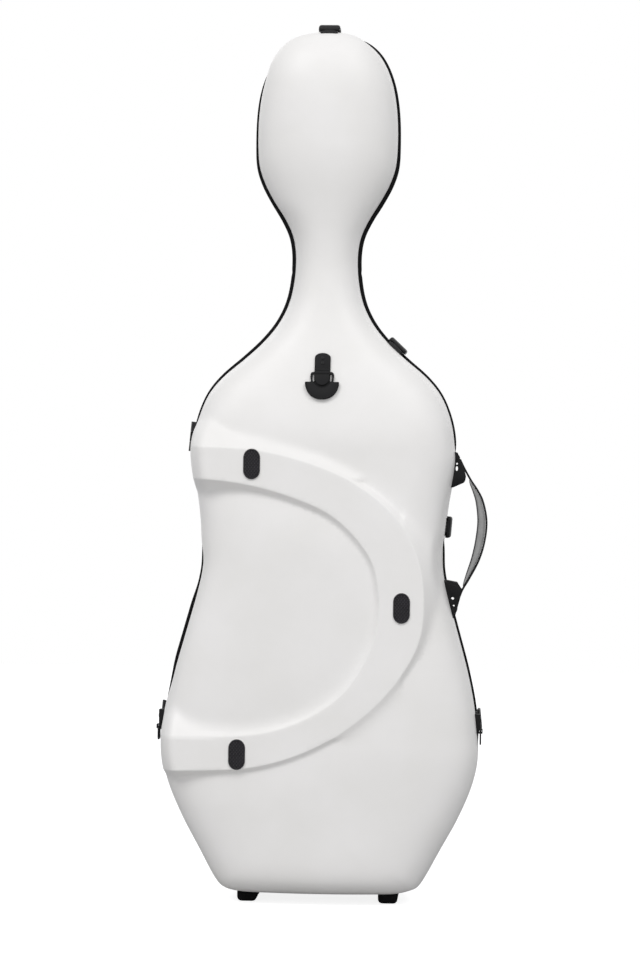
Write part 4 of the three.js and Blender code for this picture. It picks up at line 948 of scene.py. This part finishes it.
def makeBracket(name):
    s, sizes, half = handleSettings, handleSettings["brackets"][name], len(outline) // 2
    points = [*sizes["outline"]]
    for _, z in (points[-1], points[0]):
        points.append((float(np.interp(z, outlineZ[:half], outlineX[:half])) - s["sink"], z))
    holes = [arc(x, z, wide, tall, 0, 342, 20) for x, z, wide, tall in sizes["holes"]]
    bm = cutPlate(points, s["near"], s["far"], holes=holes)
    if name == "lower":
        # a broad chamfer along the near edge of its top
        right, up = s["chamferFrom"]
        top = [edge for edge in bm.edges
               if all(v.co.y < s["near"] + 0.1 and v.co.z > up and v.co.x > right for v in edge.verts)]
        bmesh.ops.bevel(bm, geom=top, offset=s["chamfer"], segments=1, profile=0.5, affect="EDGES", material=-1)
    softenEdges(bm, 0.7, 2, 25)
    x, z = sizes["screw"]
    for y in s["screwsY"]:
        addScrew(bm, (x, y, z), sizes["way"], 2.4, 1.2)
    addPiece("handleBracket" + name.title(), bm, nylon, "plastic", "back", "handle_bracket_" + name, smooth=40)


def gripSize(along):
    s = handleSettings
    full = s["gripEnd"] + (1 - s["gripEnd"]) * (1 - along ** 2)
    past = max(0.0, (abs(along) - s["roundFrom"]) / (1 - s["roundFrom"]))
    ends = math.sqrt(max(0.0, 1 - past ** 2))
    narrow = 3.2 * (1 - ends) + 1.0 + 0.6 * abs(along) ** 3
    deep = (s["grip"] - s["facing"]) * full * (0.25 + 0.75 * ends)
    return s["strap"] + 0.25, deep, s["near"] + narrow, s["far"] - narrow


# sizes of the painted shade strip: a thin dark layer on the grip's innermost face, toward the shell
def facingSize(along):
    start, deep, near, far = gripSize(along)
    return start + deep - 0.6, handleSettings["facing"] * (1 - 0.8 * along ** 4) + 0.5, near + 2.0, far - 2.0


def makeHandle():
    s = handleSettings
    for name in s["brackets"]:
        makeBracket(name)
    near, far, span = s["near"] + s["strapIn"], s["far"] - s["strapIn"], s["gripSpan"]
    strap = bowLoft(roundedBox(0, 1, 0, 1, 0.05, 0.45, 4), (-1, 1), lambda along: (0.0, s["strap"], near, far))
    addPiece("handleStrap", strap, webbing, "webbing", "back", "handle_strap", smooth=50)
    grip = bowLoft(roundedBox(0, 1, 0, 1, 0.13, 0.4, 6), span, gripSize)
    addPiece("handleGrip", grip, gripLeather, "grip_pad", "back", "handle_grip", smooth=60)
    # a thin strip of the darker leather on the grip's inner face is painted shade along its inner edge
    facing = bowLoft(roundedBox(0, 1, 0, 1, 0.1, 0.45, 4), span, facingSize)
    addPiece("handleGripShadeStrip", facing, gripShadeLeather, "grip_pad", "back", smooth=60)
    # stitches along both sides of the grip, where its cover closes
    stitches = bmesh.new()
    count = int(bowLengths[-1] * (span[1] - span[0]) / 2 / (s["stitch"] + s["stitchGap"]))
    for index in range(count):
        along = s["roundFrom"] * (2 * (index + 0.5) / count - 1)
        share = span[0] + (span[1] - span[0]) * (along + 1) / 2
        start, deep, near, far = gripSize(along)
        point, normal = bowPoint(share), bowNormal(share)
        way = Vector((-normal.z, 0, normal.x)) * s["stitch"] / 2
        for y in (near + 0.15, far - 0.15):
            middle = point - normal * (start + deep * 0.22) + Vector((0, y, 0))
            addRod(stitches, s["thread"], middle - way, middle + way, 6, 0.1)
    addPiece("handleStitches", stitches, gripLeather, "grip_pad", "back", smooth=60)


makeHandle()
print("handle made")


# strap anchor high on the back: a screwed tab with a tongue, and a ring that ends in a crescent
anchorSettings = {"height": 807.8, "width": 24.0, "tab": 33.0, "tabLow": 3.4, "tongue": 20.0, "thick": 2.6,
                  "bar": 1.7, "out": 2.8, "ringOuter": 36.0, "ringArm": 3.4, "ringDrop": 14.0,
                  "crescentWidth": 51.5, "crescentDrop": 41.5, "slitEnd": 13.0, "crescentThick": 3.4,
                  "screws": {"upper": 24.5, "lower": 16.5},
                  # the wall round the crescent's face: how far out and how far up each corner stands
                  "wall": ((0.2, 0), (0.2, -1.3), (-0.6, -1.7), (-1.7, -1.3), (-2.0, 0))}


def anchorFrame():
    height, depths = anchorSettings["height"], sectionSettings["backDepths"]
    slope = float(depthAt(height - 2, depths) - depthAt(height + 2, depths)) / 4
    place = Matrix.Translation((0, -float(depthAt(height, depths)), height))
    return caseFrame @ place @ Matrix.Rotation(-math.atan(slope), 4, "X")


def makeAnchor():
    s, matrix = anchorSettings, anchorFrame()
    thick, low, drop, bar = s["thick"], s["tabLow"], s["ringDrop"], s["bar"]
    side, face = s["width"] / 2, -s["out"] - bar - 0.3 - thick / 2
    arch = arc(0, s["tab"] - side * 0.62, side, side * 0.62, 0, 180, 19)
    tab = cutPlate([(side, -low), *arch, (-side, -low)], face + thick, 2.6, bevel=0.8, segments=3)
    joinInto(tab, cutPlate(roundedBox(-side, side, -low, low, 1.0), face, 2.0, bevel=0.7, segments=3))
    tongueSide, tongueLow, tongueDrop = side - 0.9, -s["tongue"] * 0.42, s["tongue"] * 0.58
    tongue = [(-tongueSide, 0), *arc(0, tongueLow, tongueSide, tongueDrop, 180, 360, 25), (tongueSide, 0)]
    joinInto(tab, cutPlate(tongue, face, face + thick, bevel=0.6, segments=3))
    # a plain raised strip crosses the tab above its bar
    joinInto(tab, cutPlate(roundedBox(-side + 0.6, side - 0.6, 3.9, 7.4, 0.8), face + 1.6, face + 3.2, bevel=0.4))
    addPiece("anchorTab", tab, nylon, "plastic", "back", "anchor_plate", smooth=38, matrix=matrix)
    for name, up in s["screws"].items():
        screw = addScrew(bmesh.new(), (0, face + thick - 0.45, up), (0, -1, 0), 2.6, 1.3)
        addPiece("anchorScrew" + name.title(), screw, powderCoat, "steel", "back", "anchor_screw_" + name,
                 matrix=matrix)
    wide, deep, outerSide = s["crescentWidth"] / 2, s["crescentDrop"] - drop, s["ringOuter"] / 2
    innerSide = outerSide - s["ringArm"]
    lower = [(x + math.copysign(1.5, x), z) for x, z in arc(0, -drop - 1.5, wide - 1.5, deep - 1.5, 0, -180, 41)]
    right = [(innerSide, bar), (outerSide - 1.2, 0.6), (outerSide - 0.2, -2.2), (outerSide, -6.0),
             (outerSide - 1.0, -drop + 0.9), (outerSide - 0.2, -drop), (wide - 1.2, -drop), (wide - 0.2, -drop - 0.6)]
    points = right + lower + [(-x, z) for x, z in reversed(right)]
    mouth = arc(0, tongueLow, innerSide, tongueDrop + s["ringArm"], 180, 360, 31)
    opening = [*mouth, (innerSide, -bar - 0.2), (-innerSide, -bar - 0.2)]
    middle, half = -s["out"], s["crescentThick"] / 2
    ring = cutPlate(points, middle - half, middle + half, holes=[opening], bevel=0.6)
    # a sunk floor closes the opening behind the tongue and leaves a narrow slit at each side
    for plan in ([(x * 1.02, min(z, -s["slitEnd"])) for x, z in mouth],
                 roundedBox(-tongueSide - 1.1, tongueSide + 1.1, -s["slitEnd"] - 1, -2.2, 0.5)):
        joinInto(ring, cutPlate(plan, middle + 0.4, middle + half, bevel=0.2))
    # the crescent's rounded edge stands up as a thin wall round a dished face
    edges = [arc(0, -drop - 1.0, wide + out, deep - 1.0 + out, 0, -180, 41) for out, _ in s["wall"]]
    rows = [[(x, middle - half + up + 0.3, z) for (x, z), (_, up) in zip(places, s["wall"])]
            for places in zip(*edges)]
    joinInto(ring, loftRows(rows, capped=True))
    addRod(ring, bar, (-innerSide - 1, middle, 0), (innerSide + 1, middle, 0), 24, 0.3)
    addPiece("anchorRing", ring, nylon, "plastic", "anchor_ring", "anchor_ring", smooth=38, matrix=matrix)


makeAnchor()


# low strap anchors, one each side, with hanging wire rings
sideRingSettings = {"wire": 1.3, "width": 24.0, "drop": 18.0, "corner": 4.0, "sides": 16, "screwUp": 16.5,
                    "screw": 0.0034, "screwRise": 0.0014}


def makeSideAnchor(name, out):
    s = sideRingSettings
    low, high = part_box("side_anchor_" + name)
    pivot = Vector(joints[f"side_ring_{name}_swing"]["pos_m"])
    bm = copyOf("side_anchor_" + name, 0.7)
    place = (pivot.x - out * 0.1 * millimetre, (low.y + high.y) / 2, pivot.z + s["screwUp"] * millimetre)
    addScrew(bm, place, (out, 0, 0), s["screw"], s["screwRise"])
    addPiece("sideAnchor" + name.title(), bm, nylon, "plastic", "back", "side_anchor_" + name, smooth=40,
             matrix=None)
    # a round wire bent to a rounded square that hangs in one plane
    half, wire = s["width"] / 2 - s["wire"], s["wire"]
    path = np.array(roundedBox(-half, half, -s["drop"] - wire, 0, s["corner"]))
    way = np.roll(path, -1, axis=0) - np.roll(path, 1, axis=0)
    normal = np.stack([way[:, 1], -way[:, 0]], axis=1) / np.linalg.norm(way, axis=1)[:, None]
    rows = [np.insert(path + normal * across, 0, x, axis=1) for across, x in circle(wire, s["sides"])]
    addPiece("sideRing" + name.title(), loftRows(rows, ring=True), powderCoat, "hardware", "side_ring_" + name,
             "side_ring_" + name, smooth=60, matrix=placed(*pivot))


makeSideAnchor("left", -1)
makeSideAnchor("right", 1)
print("strap anchors made")


# feet: moulded rubber blocks with round lower corners, let into the shells
footSettings = {"round": 8.0, "top": 15.5, "soft": 1.0}


def makeFoot(place, body):
    s = footSettings
    low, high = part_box("foot_" + place)
    half, near, far = (size / millimetre for size in ((high.x - low.x) / 2, low.y - seamY, high.y - seamY))
    corner = [tuple(p) for p in curveOf((half, s["round"]), (half, 0), (half - s["round"], 0), 8)]
    points = [(half, s["top"]), *corner, *[(-x, z) for x, z in reversed(corner)], (-half, s["top"])]
    bm = cutPlate(points, near, far, bevel=s["soft"], segments=3)
    addPiece("foot" + place.title().replace("_", ""), bm, rubber, "rubber", body, "foot_" + place, smooth=50,
             matrix=placed((low.x + high.x) / 2, seamY, 0))


for footBody, depthSide in (("back", "back_"), ("lid", "front_")):
    for footSide in ("left", "right"):
        makeFoot(depthSide + footSide, footBody)
print("feet made")


# foam supports inside: plush-covered blocks, blown up a little by a cloth simulation so that they crown
foamSettings = {"voxel": 0.004, "shrink": 0.0015, "smooth": 4, "pressure": 4.0, "frames": 20, "cap": 0.003,
                "stiffness": 18.0, "bending": 1.5}


def evaluated(block):
    # the block's mesh with its modifier applied, after which the block goes
    shaped = bpy.data.meshes.new_from_object(block.evaluated_get(bpy.context.evaluated_depsgraph_get()))
    bpy.data.objects.remove(block)
    return shaped


def puffUp(name, mesh):
    # cloth under pressure, with no gravity, each point held to a small travel
    s = foamSettings
    start = np.array([vert.co for vert in mesh.vertices])
    block = linked(name + "Cloth", mesh)
    cloth = block.modifiers.new("cloth", "CLOTH")
    for key, value in {"use_pressure": True, "uniform_pressure_force": s["pressure"],
                       "tension_stiffness": s["stiffness"], "compression_stiffness": s["stiffness"],
                       "bending_stiffness": s["bending"]}.items():
        setattr(cloth.settings, key, value)
    cloth.settings.effector_weights.gravity = 0
    cloth.point_cache.frame_start, cloth.point_cache.frame_end = 1, s["frames"]
    for number in range(1, s["frames"] + 1):
        bpy.context.scene.frame_set(number)
    puffed = evaluated(block)
    bpy.context.scene.frame_set(1)
    travel = np.array([vert.co for vert in puffed.vertices]) - start
    length = np.maximum(np.linalg.norm(travel, axis=1), 1e-9)
    end = start + travel * np.minimum(1.0, s["cap"] / length)[:, None]
    puffed.vertices.foreach_set("co", end.ravel())
    return puffed


def makeFoam(node, body):
    s, (first, *rest) = foamSettings, node.split("_")
    name = first + "".join(word.title() for word in rest)
    bm = copyOf(node)
    bmesh.ops.triangulate(bm, faces=bm.faces)
    block = linked(name + "Block", meshFrom(bm, name + "Block"))
    remesh = block.modifiers.new("remesh", "REMESH")
    remesh.mode, remesh.voxel_size = "VOXEL", s["voxel"]
    bm = bmesh.new()
    bm.from_mesh(evaluated(block))
    for _ in range(s["smooth"]):
        bmesh.ops.smooth_vert(bm, verts=bm.verts, factor=0.5, use_axis_x=True, use_axis_y=True, use_axis_z=True)
    bm.normal_update()
    for vert in bm.verts:
        vert.co -= vert.normal * s["shrink"]
    mesh = meshFrom(bm, name + "Start")
    bm = bmesh.new()
    bm.from_mesh(puffUp(name, mesh))
    piece = addPiece(name, bm, foamCover, "foam", body, node, smooth=180, matrix=None)
    finer = piece.modifiers.new("finer", "SUBSURF")
    finer.levels = finer.render_levels = 1


for foamNode in ("neck_cradle", "upper_pad_left", "upper_pad_right", "lower_pad_left", "lower_pad_right",
                 "end_block"):
    makeFoam(foamNode, "back")
makeFoam("bow_rest", "lid")
print("foam supports made")


# bow clips in the lid: a post and a turning oval on it
clipSettings = {"post": 9.0, "width": 11.0, "length": 44.0, "power": 2.3, "corners": 48}


def makeBowClip(name):
    s = clipSettings
    low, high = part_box("bow_clip_" + name)
    matrix = placed((low.x + high.x) / 2, 0, (low.z + high.z) / 2)
    post = addRod(bmesh.new(), s["post"], (0, low.y / millimetre, 0), (0, high.y / millimetre, 0), 40, 1.2)
    addPiece("bowPost" + name.title(), post, nylon, "plastic", "lid", "bow_clip_" + name, matrix=matrix)
    body = "bow_turn_" + name
    low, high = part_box(body)
    oval = [tuple(math.copysign(abs(share) ** (2 / s["power"]) * size / 2, share)
                  for share, size in zip(point, (s["width"], s["length"]))) for point in circle(1, s["corners"])]
    turning = cutPlate(oval, low.y / millimetre, high.y / millimetre, bevel=1.0, segments=3)
    addScrew(turning, (0, low.y / millimetre - 0.2, 0), (0, -1, 0), 3.0, 1.2)
    addPiece("bowTurn" + name.title(), turning, nylon, "plastic", body, body, smooth=40, matrix=matrix)


makeBowClip("left")
makeBowClip("right")
print("bow clips made")
